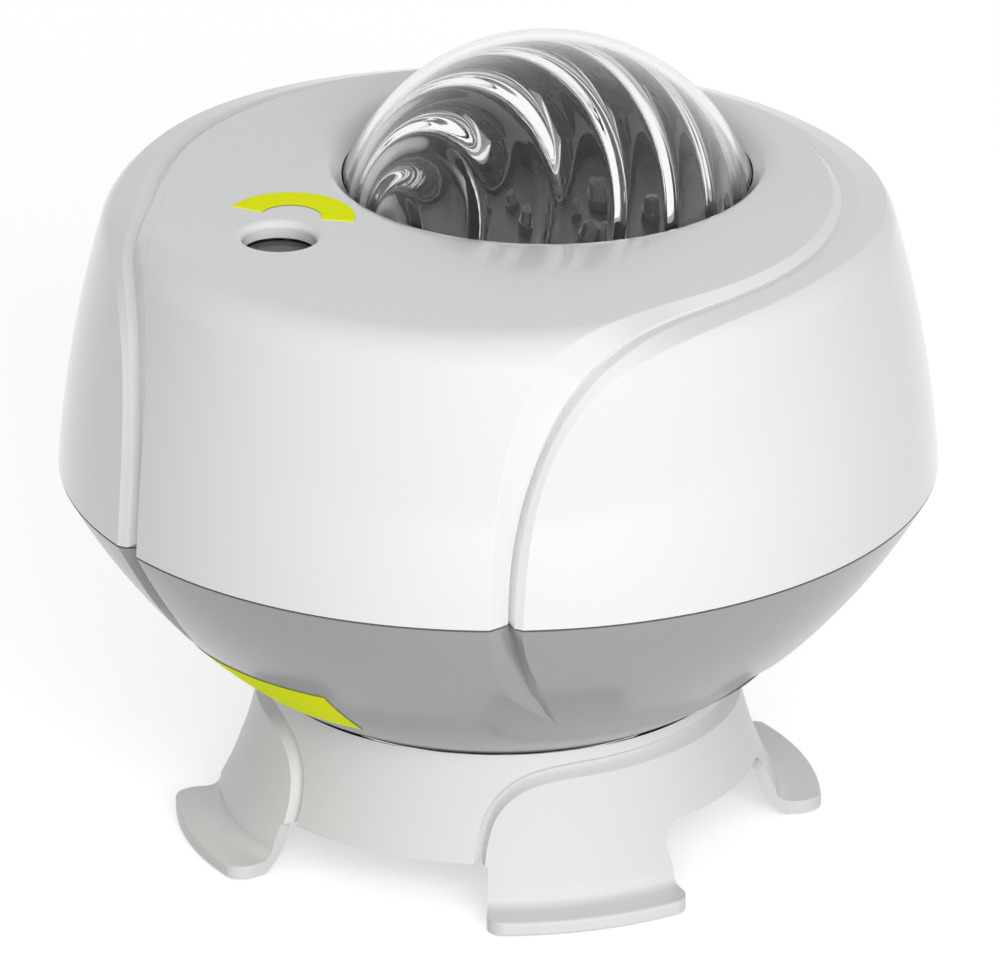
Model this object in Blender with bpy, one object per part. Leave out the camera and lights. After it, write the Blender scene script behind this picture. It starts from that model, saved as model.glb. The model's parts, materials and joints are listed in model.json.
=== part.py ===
"""Star projector: a round body with a clear swirl dome, rocking in a four-footed stand.

Sizes below are millimetres. Meshes are made in metres, +Z up.
The origin is on the body's axis, on the surface that the stand's pads rest on.
The front is -Y. An angle round the body is measured from the front towards +X.
"""
import bpy
import bmesh
import numpy as np
from math import asin, atan2, cos, degrees, hypot, pi, radians, sin, sqrt
from mathutils import Matrix, Vector

MM = 0.001

# Fits
GAP = 0.3
WALL = 2.6
TOP_WALL = 3.3
BOARD = 1.6

# Body outline
SEAM_RADIUS = 82.5
SEAM_HEIGHT = 71.5
SEAM_GAP = 0.36
TOP_HEIGHT = 125.5
SIDE_ARC = 236.4
SIDE_LEAN = 3.76
SHOULDER_RADIUS = 9.0
BOWL_RADIUS = 87.4
ROCK_HEIGHT = 106.0
BOWL_ZONE = 44.8
BOTTOM_RADIUS = 20.0
LIP_WALL = 1.5
LIP_RISE = 2.2
LIP_BREAK = 7.0

# Groove that runs up from the seam, round the top plate and down again.
# Climb is 0 at the seam and 1 on the loop round the top plate.
# climb and angle of the inner edge, of the deepest line and of the outer edge, then depth
LOOP_RADIUS = 64.2
BODY_GROOVE = (
    (-0.721, 41.0, -0.721, 41.8, -0.721, 42.6, 0.15),
    (-0.432, 31.5, -0.412, 34.5, -0.401, 36.2, 1.5),
    (-0.210, 28.0, -0.200, 31.0, -0.196, 32.6, 2.8),
    (0.000, 26.7, 0.000, 29.4, 0.000, 31.2, 3.3),
    (0.217, 27.1, 0.206, 29.9, 0.200, 31.8, 3.3),
    (0.407, 27.9, 0.385, 31.5, 0.377, 33.1, 3.3),
    (0.589, 29.5, 0.543, 34.1, 0.532, 35.5, 3.2),
    (0.727, 32.0, 0.668, 37.2, 0.649, 39.0, 3.1),
    (0.840, 36.2, 0.766, 41.0, 0.733, 43.2, 3.0),
    (0.906, 41.0, 0.832, 44.3, 0.776, 46.6, 2.8),
    (0.957, 46.0, 0.889, 48.0, 0.807, 50.4, 2.5),
    (1.003, 52.0, 0.943, 53.0, 0.833, 54.6, 2.3),
    (1.030, 60.0, 0.990, 60.5, 0.858, 61.0, 2.1),
    (1.031, 72.0, 1.004, 72.0, 0.878, 72.0, 1.9),
    (1.028, 90.0, 1.000, 90.0, 0.883, 90.0, 1.8),
    (1.028, 115.0, 1.000, 115.0, 0.853, 115.0, 1.8),
    (1.028, 145.0, 1.000, 145.0, 0.824, 145.0, 1.8),
    (1.028, 180.0, 1.000, 180.0, 0.824, 180.0, 1.8),
)
GROOVE_LIFT = 4.0
GROOVE_OVERRUN = 0.18
GROOVE_WIDEN = 1.2
INNER_GROOVE_END = 52.5
INNER_GROOVE_DEPTH = 1.0

# Dome
DOME_BACK = 19.5
DOME_RADIUS = 41.3
DOME_RISE = 22.8
DOME_WALL = 1.5
DOME_FLANGE = 4.5
WELL_FLARE = 2.9
SWIRL_WALL = 1.3
SWIRL_RIB = 2.4
SWIRL_BANDS = 12
SWIRL_STARTS = 2
SWIRL_REACH = 0.5
SWIRL_REACH_ANGLE = 51.0
SWIRL_POLE = (72.0, -32.0)
SWIRL_BASE = 5.0

# Laser aperture, left of the dome
LASER_X = -26.0
LASER_Y = -38.0
APERTURE_RADIUS = 6.9
APERTURE_FLARE = 1.5
WINDOW_RIM = 1.8
WINDOW_THICK = 1.5
HOLDER_RADIUS = 5.4
HOLDER_SHOULDER = 7.2
HOLDER_BORE = 3.0
HOLDER_DROP = 9.0
MODULE_RADIUS = 2.7
MODULE_DROP = 14.0

# Gear train
GEAR_MODULE = 1.5
RING_TEETH = 56
PINION_TEETH = 8
STAR_TEETH = 12
GEAR_FACE = 4.0
GEAR_BACKLASH = 0.12
STAR_SKIN = 0.8
SHAFT_RADIUS = 1.2
MOTOR_LENGTH = 26.0
MOTOR_RADIUS = 5.8
MOTOR_BOX = (10.0, 12.0, 9.5)

# Light frame, hung under the gears and held off the shell's inner wall
FRAME_CLEARANCE = 7.1
FRAME_PLATE = 2.5
SHELF_RISE = 3.9
SHELF_WIDTH = 2.2
COLLAR_WALL = 2.4
VENT_RADIUS = 13.0
COLUMN_RADIUS = 4.0
COLUMN_CIRCLE = 33.0
COLUMN_ANGLES = (60.0, 150.0, 210.0, 300.0)
COLUMN_FOOT = 44.0
BOSS_INSET = 5.5
BOSS_RADIUS = 3.6
BOSS_ANGLES = (40.0, 112.0, 248.0, 320.0)
POST_WALL = 0.6
SCREW_SHELF = 6.0

# Screws
SCREW_RADIUS = 1.4
SCREW_HEAD = 2.8
SCREW_HEAD_HEIGHT = 2.0
SHELL_SCREW_LENGTH = 16.0
FRAME_SCREW_LENGTH = 9.0
SMALL_SCREW = 1.0
SMALL_HEAD = 2.0
SMALL_HEAD_HEIGHT = 1.3
SMALL_SCREW_LENGTH = 6.0

# Electronics
MAIN_BOARD_RADIUS = 47.0
MAIN_BOARD_HEIGHT = 60.0
BOARD_POST_CIRCLE = 42.0
BOARD_POST_ANGLES = (20.0, 180.0, 340.0)
BOARD_POST_RADIUS = 2.8
SPEAKER_RADIUS = 26.0
SPEAKER_HEIGHT = 28.3
MAGNET_RADIUS = 14.0
MAGNET_THICK = 7.0
GRILLE_SLOTS = 10
GRILLE_CIRCLE = 11.0
GRILLE_WIDTH = 2.2
GRILLE_LENGTH = 10.0
LED_BOARD_RADIUS = 24.0
LED_CIRCLE = 9.0
LED_COUNT = 4
SINK_HEIGHT = 7.0
SPEAKER_DEPTH = 12.0
LED_RADIUS = 3.6

# Port recess at the right, buttons at the back
PORT_WIDTH = 24.0
PORT_HEIGHT = 6.8
PORT_FLOOR = 36.6
PORT_FACE = 52.0
INLET_WIDTH = 9.0
INLET_HEIGHT = 3.3
INLET_LENGTH = 7.0
INLET_SCREW_SPREAD = 8.5
INLET_BOARD_WIDTH = 22.0
INLET_BOARD_HEIGHT = 8.0
BUTTON_COUNT = 4
BUTTON_RADIUS = 4.2
BUTTON_PITCH = 13.5
BUTTON_DROP = 13.5
BUTTON_PROUD = 1.2
BUTTON_TRAVEL = 0.6
BUTTON_RIM = 1.3

# Stand
STAND_TOP_HEIGHT = 29.6
STAND_TOP_RADIUS = 45.0
STAND_RING_FOOT = 13.4
STAND_RING_RADIUS = 48.9
STAND_LEG_HEIGHT = 5.8
STAND_LEG_RADIUS = 52.4
STAND_WALL = 2.8
TONGUE_FOOT = 9.9
TOE_RADIUS = 60.8
TOE_BOTTOM = 0.4
TOE_THICK = 2.6
TOE_CORNER = 4.0
FOOT_ANGLE = 45.0
FOOT_HALF = 19.2
LEG_FRONT_ANGLE = 25.8
LEG_SIDE_ANGLE = 67.0
LEDGE_RADIUS = 38.0
LEDGE_THICK = 2.2
SEAT_WIDTH = 3.2
SEAT_HEIGHT = 26.0
PAD_WIDTH = 20.0
PAD_DEPTH = 5.6
PAD_CIRCLE = 56.0
PAD_THICK = 1.1
RECESS_DEPTH = 1.3
STAND_GROOVE_DEPTH = 3.0
# angle and height of the stand groove's deepest line
STAND_GROOVE = (
    (23.9, 5.0),
    (24.1, 10.2),
    (24.8, 14.7),
    (26.6, 19.0),
    (30.2, 22.5),
    (35.8, 25.0),
    (43.6, 26.2),
    (56.0, 26.6),
    (70.0, 26.8),
    (95.0, 26.9),
    (125.0, 26.9),
    (155.0, 26.9),
    (180.0, 26.9),
)

# Facets. Turned facets start off the axes, so that no two cuts share an edge.
ROUND_SIDES = 38
SMALL_SIDES = 12
TINY_SIDES = 8
PILOT_SIDES = 6
FACET_START = 0.37

COLOURS = {
    "white_gloss": ((0.86, 0.86, 0.87), 0.22, 0.0),
    "grey_gloss": ((0.62, 0.62, 0.63), 0.28, 0.0),
    "stand_white": ((0.82, 0.82, 0.83), 0.3, 0.0),
    "rubber": ((0.16, 0.16, 0.17), 0.8, 0.0),
    "clear": ((0.92, 0.94, 0.95), 0.03, 0.0),
    "frame_plastic": ((0.12, 0.12, 0.13), 0.5, 0.0),
    "gear_plastic": ((0.85, 0.84, 0.8), 0.45, 0.0),
    "steel": ((0.6, 0.6, 0.62), 0.3, 1.0),
    "aluminium": ((0.75, 0.76, 0.78), 0.35, 1.0),
    "brass": ((0.78, 0.6, 0.3), 0.3, 1.0),
    "board": ((0.04, 0.2, 0.1), 0.5, 0.0),
    "led": ((0.9, 0.85, 0.55), 0.2, 0.0),
    "paper": ((0.1, 0.1, 0.1), 0.9, 0.0),
    "magnet": ((0.08, 0.08, 0.09), 0.6, 0.4),
    "button": ((0.8, 0.8, 0.81), 0.35, 0.0),
}


def clear_scene():
    for thing in list(bpy.data.objects):
        bpy.data.objects.remove(thing, do_unlink=True)


def material(slot):
    found = bpy.data.materials.get(slot)
    if found:
        return found
    colour, roughness, metallic = COLOURS[slot]
    made = bpy.data.materials.new(slot)
    made.use_nodes = True
    shader = made.node_tree.nodes["Principled BSDF"]
    shader.inputs["Base Color"].default_value = (*colour, 1.0)
    shader.inputs["Roughness"].default_value = roughness
    shader.inputs["Metallic"].default_value = metallic
    if slot == "clear":
        shader.inputs["Transmission Weight"].default_value = 1.0
    made.diffuse_color = (*colour, 1.0)
    return made


def add_object(name, mesh, slot=None, place=(0.0, 0.0, 0.0)):
    thing = bpy.data.objects.new(name, mesh)
    bpy.context.collection.objects.link(thing)
    thing.location = Vector(place) * MM
    if slot is None:
        thing.hide_render = True
        thing.display_type = "WIRE"
    else:
        mesh.materials.append(material(slot))
    return thing


def finish_mesh(name, bm, sharp=35.0):
    """Turns the faces outwards and keeps the edges sharper than an angle."""
    bmesh.ops.recalc_face_normals(bm, faces=bm.faces)
    mesh = bpy.data.meshes.new(name)
    bm.to_mesh(mesh)
    bm.free()
    mesh.shade_smooth()
    mesh.set_sharp_from_angle(angle=radians(sharp))
    return mesh


def mesh_from(name, points, faces):
    """A closed mesh from points in millimetres."""
    bm = bmesh.new()
    verts = [bm.verts.new(Vector(p) * MM) for p in points]
    for face in faces:
        bm.faces.new([verts[index] for index in dict.fromkeys(face)])
    return finish_mesh(name, bm)


def cut(target, cutter, operation="DIFFERENCE", solver="EXACT"):
    step = target.modifiers.new(cutter.name, "BOOLEAN")
    step.operation = operation
    step.solver = solver
    step.object = cutter


def around(angle, radius, height=0.0):
    """A point at an angle in degrees from the front."""
    return (radius * sin(radians(angle)), -radius * cos(radians(angle)), height)


def turned(name, profile, slot=None, place=(0.0, 0.0, 0.0), sides=ROUND_SIDES, lean=None):
    """A closed outline of (radius, height) spun about its own axis."""
    bm = bmesh.new()
    first = Matrix.Rotation(2.0 * pi * FACET_START / sides, 3, "Z")
    verts = [bm.verts.new(first @ Vector((0.0, -radius, height)) * MM) for radius, height in profile]
    edges = []
    for k, vert in enumerate(verts):
        if profile[k - 1][0] > 0.0 or profile[k][0] > 0.0:
            edges.append(bm.edges.new((verts[k - 1], vert)))
    bmesh.ops.spin(bm, geom=verts + edges, cent=(0.0, 0.0, 0.0), axis=(0.0, 0.0, 1.0),
                   angle=2.0 * pi, steps=sides, use_merge=True)
    bmesh.ops.remove_doubles(bm, verts=bm.verts, dist=0.0001 * MM)
    if lean is not None:
        bmesh.ops.transform(bm, matrix=lean.to_4x4(), verts=bm.verts)
    return add_object(name, finish_mesh(name, bm), slot, place)


def prism(name, outline, low, high, slot=None, place=(0.0, 0.0, 0.0), sharp=35.0, lean=None):
    """A flat outline of (x, y) extruded from low to high."""
    bm = bmesh.new()
    face = bm.faces.new([bm.verts.new(Vector((x, y, low)) * MM) for x, y in outline])
    grown = bmesh.ops.extrude_face_region(bm, geom=[face], use_keep_orig=True)
    top = [item for item in grown["geom"] if isinstance(item, bmesh.types.BMVert)]
    bmesh.ops.translate(bm, vec=Vector((0.0, 0.0, high - low)) * MM, verts=top)
    if lean is not None:
        bmesh.ops.transform(bm, matrix=lean.to_4x4(), verts=bm.verts)
    return add_object(name, finish_mesh(name, bm, sharp), slot, place)


def box(name, low, high, slot=None):
    outline = [(low[0], low[1]), (high[0], low[1]), (high[0], high[1]), (low[0], high[1])]
    return prism(name, outline, low[2], high[2], slot)


def disc(name, radius, low, high, slot=None, place=(0.0, 0.0, 0.0), sides=SMALL_SIDES, lean=None):
    profile = [(0.0, low), (radius, low), (radius, high), (0.0, high)]
    return turned(name, profile, slot, place, sides, lean)


def grouped(name, makers):
    """Several cutters joined into one object of separate bodies."""
    bm = bmesh.new()
    for maker in makers:
        piece = maker()
        copy = piece.data.copy()
        copy.transform(Matrix.Translation(piece.location))
        bm.from_mesh(copy)
        bpy.data.objects.remove(piece, do_unlink=True)
    mesh = bpy.data.meshes.new(name)
    bm.to_mesh(mesh)
    bm.free()
    return add_object(name, mesh)


def rounded_box(width, height, radius, steps=4):
    """The outline of a box with round corners, about its centre."""
    outline = []
    for corner, (sx, sy) in enumerate(((1, 1), (-1, 1), (-1, -1), (1, -1))):
        for k in range(steps + 1):
            turn = radians(90.0 * (corner + k / steps))
            x = sx * (width / 2 - radius) + radius * cos(turn)
            y = sy * (height / 2 - radius) + radius * sin(turn)
            outline.append((x, y))
    return outline


def arc(centre, radius, start, end, steps):
    """Points on an arc between two directions in degrees."""
    turns = np.linspace(radians(start), radians(end), steps + 1)
    return [(centre[0] + radius * cos(t), centre[1] + radius * sin(t)) for t in turns]


def circle_through(first, second, third):
    a = np.array([np.subtract(second, first), np.subtract(third, first)]) * 2.0
    square = [np.dot(p, p) for p in (first, second, third)]
    centre = np.linalg.solve(a, [square[1] - square[0], square[2] - square[0]])
    return tuple(centre), hypot(first[0] - centre[0], first[1] - centre[1])


def smooth_path(table, steps):
    """A Catmull-Rom curve through a table's rows, with steps points to a row."""
    rows = np.array(table, float)
    padded = np.vstack([2 * rows[0] - rows[1], rows, 2 * rows[-1] - rows[-2]])
    out = []
    for k in range(len(rows) - 1):
        a, b, c, d = padded[k:k + 4]
        for t in np.arange(steps) / steps:
            out.append(0.5 * (2 * b + (c - a) * t + (2 * a - 5 * b + 4 * c - d) * t**2
                              + (3 * b - a - 3 * c + d) * t**3))
    out.append(rows[-1])
    return np.array(out)


def body_profile(inset=0.0, top_inset=None, fine=False):
    """The body's outline from the top's middle to the bottom's middle."""
    top = TOP_HEIGHT - (inset if top_inset is None else top_inset)
    lean = radians(SIDE_LEAN)
    side = (SEAM_RADIUS - SIDE_ARC * cos(lean), SEAM_HEIGHT - SIDE_ARC * sin(lean))
    side_radius = SIDE_ARC - inset
    shoulder = SHOULDER_RADIUS - inset
    reach = side_radius - shoulder
    rise = top - shoulder - side[1]
    corner = (side[0] + sqrt(reach**2 - rise**2), top - shoulder)
    turn = degrees(atan2(corner[1] - side[1], corner[0] - side[0]))
    zone = radians(BOWL_ZONE)
    start = np.array([BOWL_RADIUS * sin(zone), ROCK_HEIGHT - BOWL_RADIUS * cos(zone)])
    inward = np.array([-sin(zone), cos(zone)])
    span = np.array([SEAM_RADIUS, SEAM_HEIGHT]) - start
    lean_in = np.dot(inward, span)
    flare_radius = np.dot(span, span) / (2.0 * (lean_in if abs(lean_in) > 0.01 else 0.01))
    flare = start + inward * flare_radius
    outward = (np.array([SEAM_RADIUS, SEAM_HEIGHT]) - flare) / flare_radius
    flare_end = degrees(atan2(outward[1], outward[0]))
    bowl = BOWL_RADIUS - inset
    last = degrees(asin(min(BOTTOM_RADIUS / bowl, 0.9)))
    seam_turn = degrees(asin((SEAM_HEIGHT - side[1]) / side_radius))
    lots = 10 if fine else 1
    points = [(0.0, top)]
    points += arc(corner, shoulder, 90.0, turn, 4 * lots)
    points += arc(side, side_radius, turn, seam_turn, 4 * lots)[1:]
    points += arc(flare, flare_radius - inset, flare_end, BOWL_ZONE - 90.0, 4 * lots)[1:]
    points += arc((0.0, ROCK_HEIGHT), bowl, BOWL_ZONE - 90.0, last - 90.0, 4 * lots)[1:]
    points.append((0.0, points[-1][1]))
    return points


def radius_at(profile, height):
    return float(np.interp(height, [p[1] for p in profile[::-1]], [p[0] for p in profile[::-1]]))


def above(profile, low):
    """The stretch of an outline above a height, closed on the axis."""
    return [p for p in profile if p[1] > low] + [(radius_at(profile, low), low), (0.0, low)]


def below(profile, high):
    """The stretch of an outline under a height, left open at its top."""
    return [(radius_at(profile, high), high)] + [p for p in profile if p[1] < high]


class Skin:
    """The body's surface, read by arc length from the top's middle."""

    def __init__(self, inset=0.0):
        self.points = np.array(body_profile(inset, fine=True))
        steps = np.hypot(*np.diff(self.points, axis=0).T)
        self.length = np.concatenate([[0.0], np.cumsum(steps)])
        self.seam = float(np.interp(-SEAM_HEIGHT, -self.points[:, 1], self.length))

    def at(self, length, angle, off=0.0):
        """A point at an arc length and an angle, raised off the surface."""
        r = float(np.interp(length, self.length, self.points[:, 0]))
        z = float(np.interp(length, self.length, self.points[:, 1]))
        r0, z0 = self.sample(length - 0.4)
        r1, z1 = self.sample(length + 0.4)
        size = hypot(r1 - r0, z1 - z0)
        return np.array(around(angle, r + off * (z0 - z1) / size, z + off * (r1 - r0) / size))

    def length_at(self, climb):
        """The arc length at a share of the way from the seam to the loop on top."""
        return self.seam - climb * (self.seam - LOOP_RADIUS)

    def sample(self, length):
        return (float(np.interp(length, self.length, self.points[:, 0])),
                float(np.interp(length, self.length, self.points[:, 1])))


def mirrored(rows, angle_columns):
    """The same path on the left of the front."""
    left = rows[::-1].copy()
    left[:, angle_columns] = 360.0 - left[:, angle_columns]
    return left


def groove_cutter(name):
    """The whole loop, from the right foot over the top to the left foot."""
    rows = smooth_path(BODY_GROOVE, 2)
    return groove_sweep(name, np.vstack([rows, mirrored(rows, (1, 3, 5))[1:]]), 0.0, 0.0)


def inner_groove_cutter(name, inset, widen):
    """The two legs of the loop, where the wall bulges inwards behind the groove."""
    rows = smooth_path(BODY_GROOVE, 2)
    legs = rows[(rows[:, 3] < INNER_GROOVE_END) & (rows[:, 6] > INNER_GROOVE_DEPTH)]
    return grouped(name, [lambda: groove_sweep("leg", legs, inset, widen),
                          lambda: groove_sweep("leg", mirrored(legs, (1, 3, 5)), inset, widen)])


def groove_sweep(name, rows, inset, widen):
    """A V-shaped sweep between the groove's edges and its deepest line, cut into the skin."""
    skin = Skin(inset)
    points = []
    for in_climb, in_angle, climb, angle, out_climb, out_angle, depth in rows:
        length = skin.length_at(climb)
        radius = skin.sample(length)[0]
        deep = skin.at(length, angle, -depth)
        section = [deep]
        for edge_climb, edge_angle in ((out_climb, out_angle), (in_climb, in_angle)):
            along = skin.length_at(edge_climb) - length
            across = edge_angle - angle
            stretch = 1.0 + widen / hypot(along, radians(across) * radius)
            edge_length = length + along * stretch
            edge_turn = angle + across * stretch
            edge = skin.at(edge_length, edge_turn)
            section.append(edge + (edge - deep) * GROOVE_OVERRUN)
            section.append(skin.at(edge_length, edge_turn, GROOVE_LIFT))
        over = skin.at(length, angle, GROOVE_LIFT * 1.5)
        points += [section[0], section[1], section[2], over, section[4], section[3]]
    return swept(name, points, 6)


def swept(name, points, count):
    """A closed sweep through sections of count points each."""
    last = len(points) // count - 1
    faces = [list(range(count)), list(range(last * count, last * count + count))]
    for k in range(last):
        for j in range(count):
            n = (j + 1) % count
            a = k * count
            b = a + count
            faces.append([a + j, a + n, b + n, b + j])
    return add_object(name, mesh_from(name, points, faces))


def flared_hole(name, radius, flare, place, low, high, sides):
    """A hole whose mouth is rounded over."""
    profile = [(0.0, low), (radius, low)]
    rounding = arc((radius + flare, high - flare), flare, 180.0, 90.0, 2 if flare < 2.0 else 3)
    profile += rounding + [(radius + flare, high + 2.0), (0.0, high + 2.0)]
    return turned(name, profile, None, (place[0], place[1], 0.0), sides)


def frame_height():
    """The underside of the frame's plate, below the shelf that the ring gear runs on."""
    return gear_height() - GAP - SHELF_RISE - FRAME_PLATE


def frame_radius():
    return radius_at(body_profile(WALL), frame_height() + FRAME_PLATE) - FRAME_CLEARANCE


def boss_places():
    return [around(angle, frame_radius() - BOSS_INSET) for angle in BOSS_ANGLES]


def column_places():
    return [around(angle, COLUMN_CIRCLE) for angle in COLUMN_ANGLES]


def board_post_places():
    return [around(angle, BOARD_POST_CIRCLE) for angle in BOARD_POST_ANGLES]


def dome_centre_height():
    return TOP_HEIGHT + DOME_RISE - DOME_RADIUS


def well_radius():
    """The well's bore, a gap wider than the dome where the top wall ends."""
    return sqrt(DOME_RADIUS**2 - (TOP_HEIGHT - TOP_WALL - dome_centre_height())**2) + GAP


def pitch_radius(teeth):
    return GEAR_MODULE * teeth / 2.0


def pinion_place():
    """Where the pinion meets both the dome's ring gear and the star disc."""
    reach = pitch_radius(RING_TEETH) + pitch_radius(PINION_TEETH) + GEAR_BACKLASH
    near = pitch_radius(STAR_TEETH) + pitch_radius(PINION_TEETH) + GEAR_BACKLASH
    span = hypot(LASER_X, LASER_Y - DOME_BACK)
    along = (reach**2 - near**2 + span**2) / (2.0 * span)
    aside = sqrt(max(reach**2 - along**2, 0.0))
    ux, uy = LASER_X / span, (LASER_Y - DOME_BACK) / span
    return (along * ux - aside * uy, DOME_BACK + along * uy + aside * ux)


def upper_shell():
    low = SEAM_HEIGHT + SEAM_GAP / 2
    shell = turned("upper_shell", above(body_profile(), low), "white_gloss")
    cut(shell, groove_cutter("upper_groove"))
    core = turned("upper_core", above(body_profile(WALL, TOP_WALL), low - 3.0))
    cut(core, inner_groove_cutter("upper_core_groove", WALL, GROOVE_WIDEN))
    frame_top = frame_height() + FRAME_PLATE + GAP

    def boss(place):
        return lambda: disc("boss", BOSS_RADIUS, frame_top, TOP_HEIGHT + 5.0, None, place, TINY_SIDES)

    def pilot(place):
        high = frame_height() + FRAME_SCREW_LENGTH + 1.5
        return lambda: disc("pilot", SCREW_RADIUS + GAP, frame_top - 1.0, high, None, place, PILOT_SIDES)

    cut(core, grouped("boss_cores", [boss(p) for p in boss_places()]))
    cut(shell, core)
    low_wall = TOP_HEIGHT - TOP_WALL - 2.0
    well = flared_hole("well", well_radius(), WELL_FLARE, (0.0, DOME_BACK), low_wall, TOP_HEIGHT, 36)
    cut(shell, well)
    laser = (LASER_X, LASER_Y)
    cut(shell, flared_hole("aperture", APERTURE_RADIUS, APERTURE_FLARE, laser, low_wall, TOP_HEIGHT, 16))
    cut(shell, grouped("pilots", [pilot(p) for p in boss_places()]))
    return shell


def button_height():
    return SEAM_HEIGHT - BUTTON_DROP


def wall_normal_down():
    """How far below level the wall faces at the buttons, in degrees."""
    skin = Skin()
    length = float(np.interp(-button_height(), -skin.points[:, 1], skin.length))
    r0, z0 = skin.sample(length - 1.0)
    r1, z1 = skin.sample(length + 1.0)
    return degrees(atan2(r0 - r1, z0 - z1)), skin.sample(length)[0]


def button_frames():
    """A turn and a place on the wall for each button, its own +Z pointing outwards."""
    down, radius = wall_normal_down()
    step = degrees(BUTTON_PITCH / radius)
    frames = []
    for k in range(BUTTON_COUNT):
        angle = 180.0 + step * (k - (BUTTON_COUNT - 1) / 2)
        turn = Matrix.Rotation(radians(angle), 3, "Z") @ Matrix.Rotation(radians(90.0 + down), 3, "X")
        frames.append((angle, turn, around(angle, radius, button_height())))
    return frames


def strip_ends():
    down, radius = wall_normal_down()
    step = degrees(BUTTON_PITCH / radius)
    frames = []
    for side in (-1, 1):
        angle = 180.0 + side * step * (BUTTON_COUNT / 2 + 0.35)
        turn = Matrix.Rotation(radians(angle), 3, "Z") @ Matrix.Rotation(radians(90.0 + down), 3, "X")
        frames.append((turn, around(angle, radius, button_height())))
    return frames


def strip_depth():
    """How deep under the wall's skin the switch strip's outer face lies."""
    return WALL + GAP + BUTTON_RIM + BUTTON_TRAVEL + 0.15 + 3.6


def port_housing():
    low = (PORT_FACE - INLET_LENGTH + GAP, -PORT_WIDTH / 2 - WALL, PORT_FLOOR - WALL)
    high = (PORT_FACE + 40.0, PORT_WIDTH / 2 + WALL, PORT_FLOOR + PORT_HEIGHT + WALL)
    return box("port_housing", low, high)


def port_middle():
    return PORT_FLOOR + PORT_HEIGHT / 2


def sideways():
    """Turns a piece's own +Z to +X."""
    return Matrix.Rotation(radians(90.0), 3, "Y")


def lower_shell():
    high = SEAM_HEIGHT - SEAM_GAP / 2
    lip_outer = radius_at(body_profile(WALL), high) - GAP - 0.1
    lip_inner = lip_outer - LIP_WALL
    lip_top = SEAM_HEIGHT + LIP_RISE
    outline = [(0.0, lip_top), (lip_outer, lip_top), (lip_outer, high)] + below(body_profile(), high)
    shell = turned("lower_shell", outline, "grey_gloss")
    cut(shell, groove_cutter("lower_groove"))
    hollow = [(0.0, lip_top + 2.0), (lip_inner, lip_top + 2.0), (lip_inner, high - LIP_RISE)]
    core = turned("lower_core", hollow + below(body_profile(WALL), high - LIP_RISE))
    cut(core, inner_groove_cutter("lower_core_groove", WALL, GROOVE_WIDEN))
    cut(core, port_housing())
    makers = []
    for place in column_places():
        top = COLUMN_FOOT
        makers.append(lambda p=place, t=top: disc("post", COLUMN_RADIUS + POST_WALL, 10.0, t, None, p,
                                                  TINY_SIDES))
    for place in board_post_places():
        top = MAIN_BOARD_HEIGHT - GAP
        makers.append(lambda p=place, t=top: disc("post", BOARD_POST_RADIUS, 20.0, t, None, p, TINY_SIDES))
    for turn, place in strip_ends():
        deep = -strip_depth() + GAP
        makers.append(lambda u=turn, p=place, d=deep: disc("post", 2.4, d, 0.0, None, p, PILOT_SIDES, u))
    cut(core, grouped("lower_posts", makers))
    seat = [(SPEAKER_RADIUS - 3.0, 10.0), (SPEAKER_RADIUS + 0.5, 10.0)]
    seat += [(SPEAKER_RADIUS + 0.5, SPEAKER_HEIGHT - GAP), (SPEAKER_RADIUS - 3.0, SPEAKER_HEIGHT - GAP)]
    cut(core, turned("speaker_seat", seat, None, sides=20))
    cut(shell, core)
    cut(shell, lip_gaps(), solver="MANIFOLD")
    cut(shell, lower_holes(), solver="MANIFOLD")
    port = rounded_box(PORT_HEIGHT, PORT_WIDTH, 1.5, 3)
    middle = (0.0, 0.0, port_middle())
    recess = prism("port_recess", port, PORT_FACE, PORT_FACE + 30.0, None, middle, lean=sideways())
    cut(shell, recess, solver="MANIFOLD")
    return shell


def lip_gaps():
    """Breaks in the locating lip where the grooves cross the seam."""
    makers = []
    for angle in (seam_groove_angle(), -seam_groove_angle()):
        turn = Matrix.Rotation(radians(angle), 3, "Z")
        near = SEAM_RADIUS + 1.5
        far = SEAM_RADIUS - 12.5
        corners = ((-LIP_BREAK, -near), (LIP_BREAK, -near), (LIP_BREAK, -far), (-LIP_BREAK, -far))
        outline = [tuple(turn @ Vector((x, y, 0.0)))[:2] for x, y in corners]
        makers.append(lambda o=outline: prism("gap", o, SEAM_HEIGHT, SEAM_HEIGHT + LIP_RISE + 2.0))
    return grouped("lip_gaps", makers)


def seam_groove_angle():
    """Where the groove crosses the seam."""
    return next(row[3] for row in BODY_GROOVE if row[2] == 0.0)


def shell_screw_hole():
    """A screw's hole, wide up to the shelf that its head bears on."""
    shelf = COLUMN_FOOT - SCREW_SHELF
    wide = SCREW_HEAD + GAP
    narrow = SCREW_RADIUS + GAP
    return [(0.0, 10.0), (wide, 10.0), (wide, shelf), (narrow, shelf), (narrow, COLUMN_FOOT + 1.0),
            (0.0, COLUMN_FOOT + 1.0)]


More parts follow.
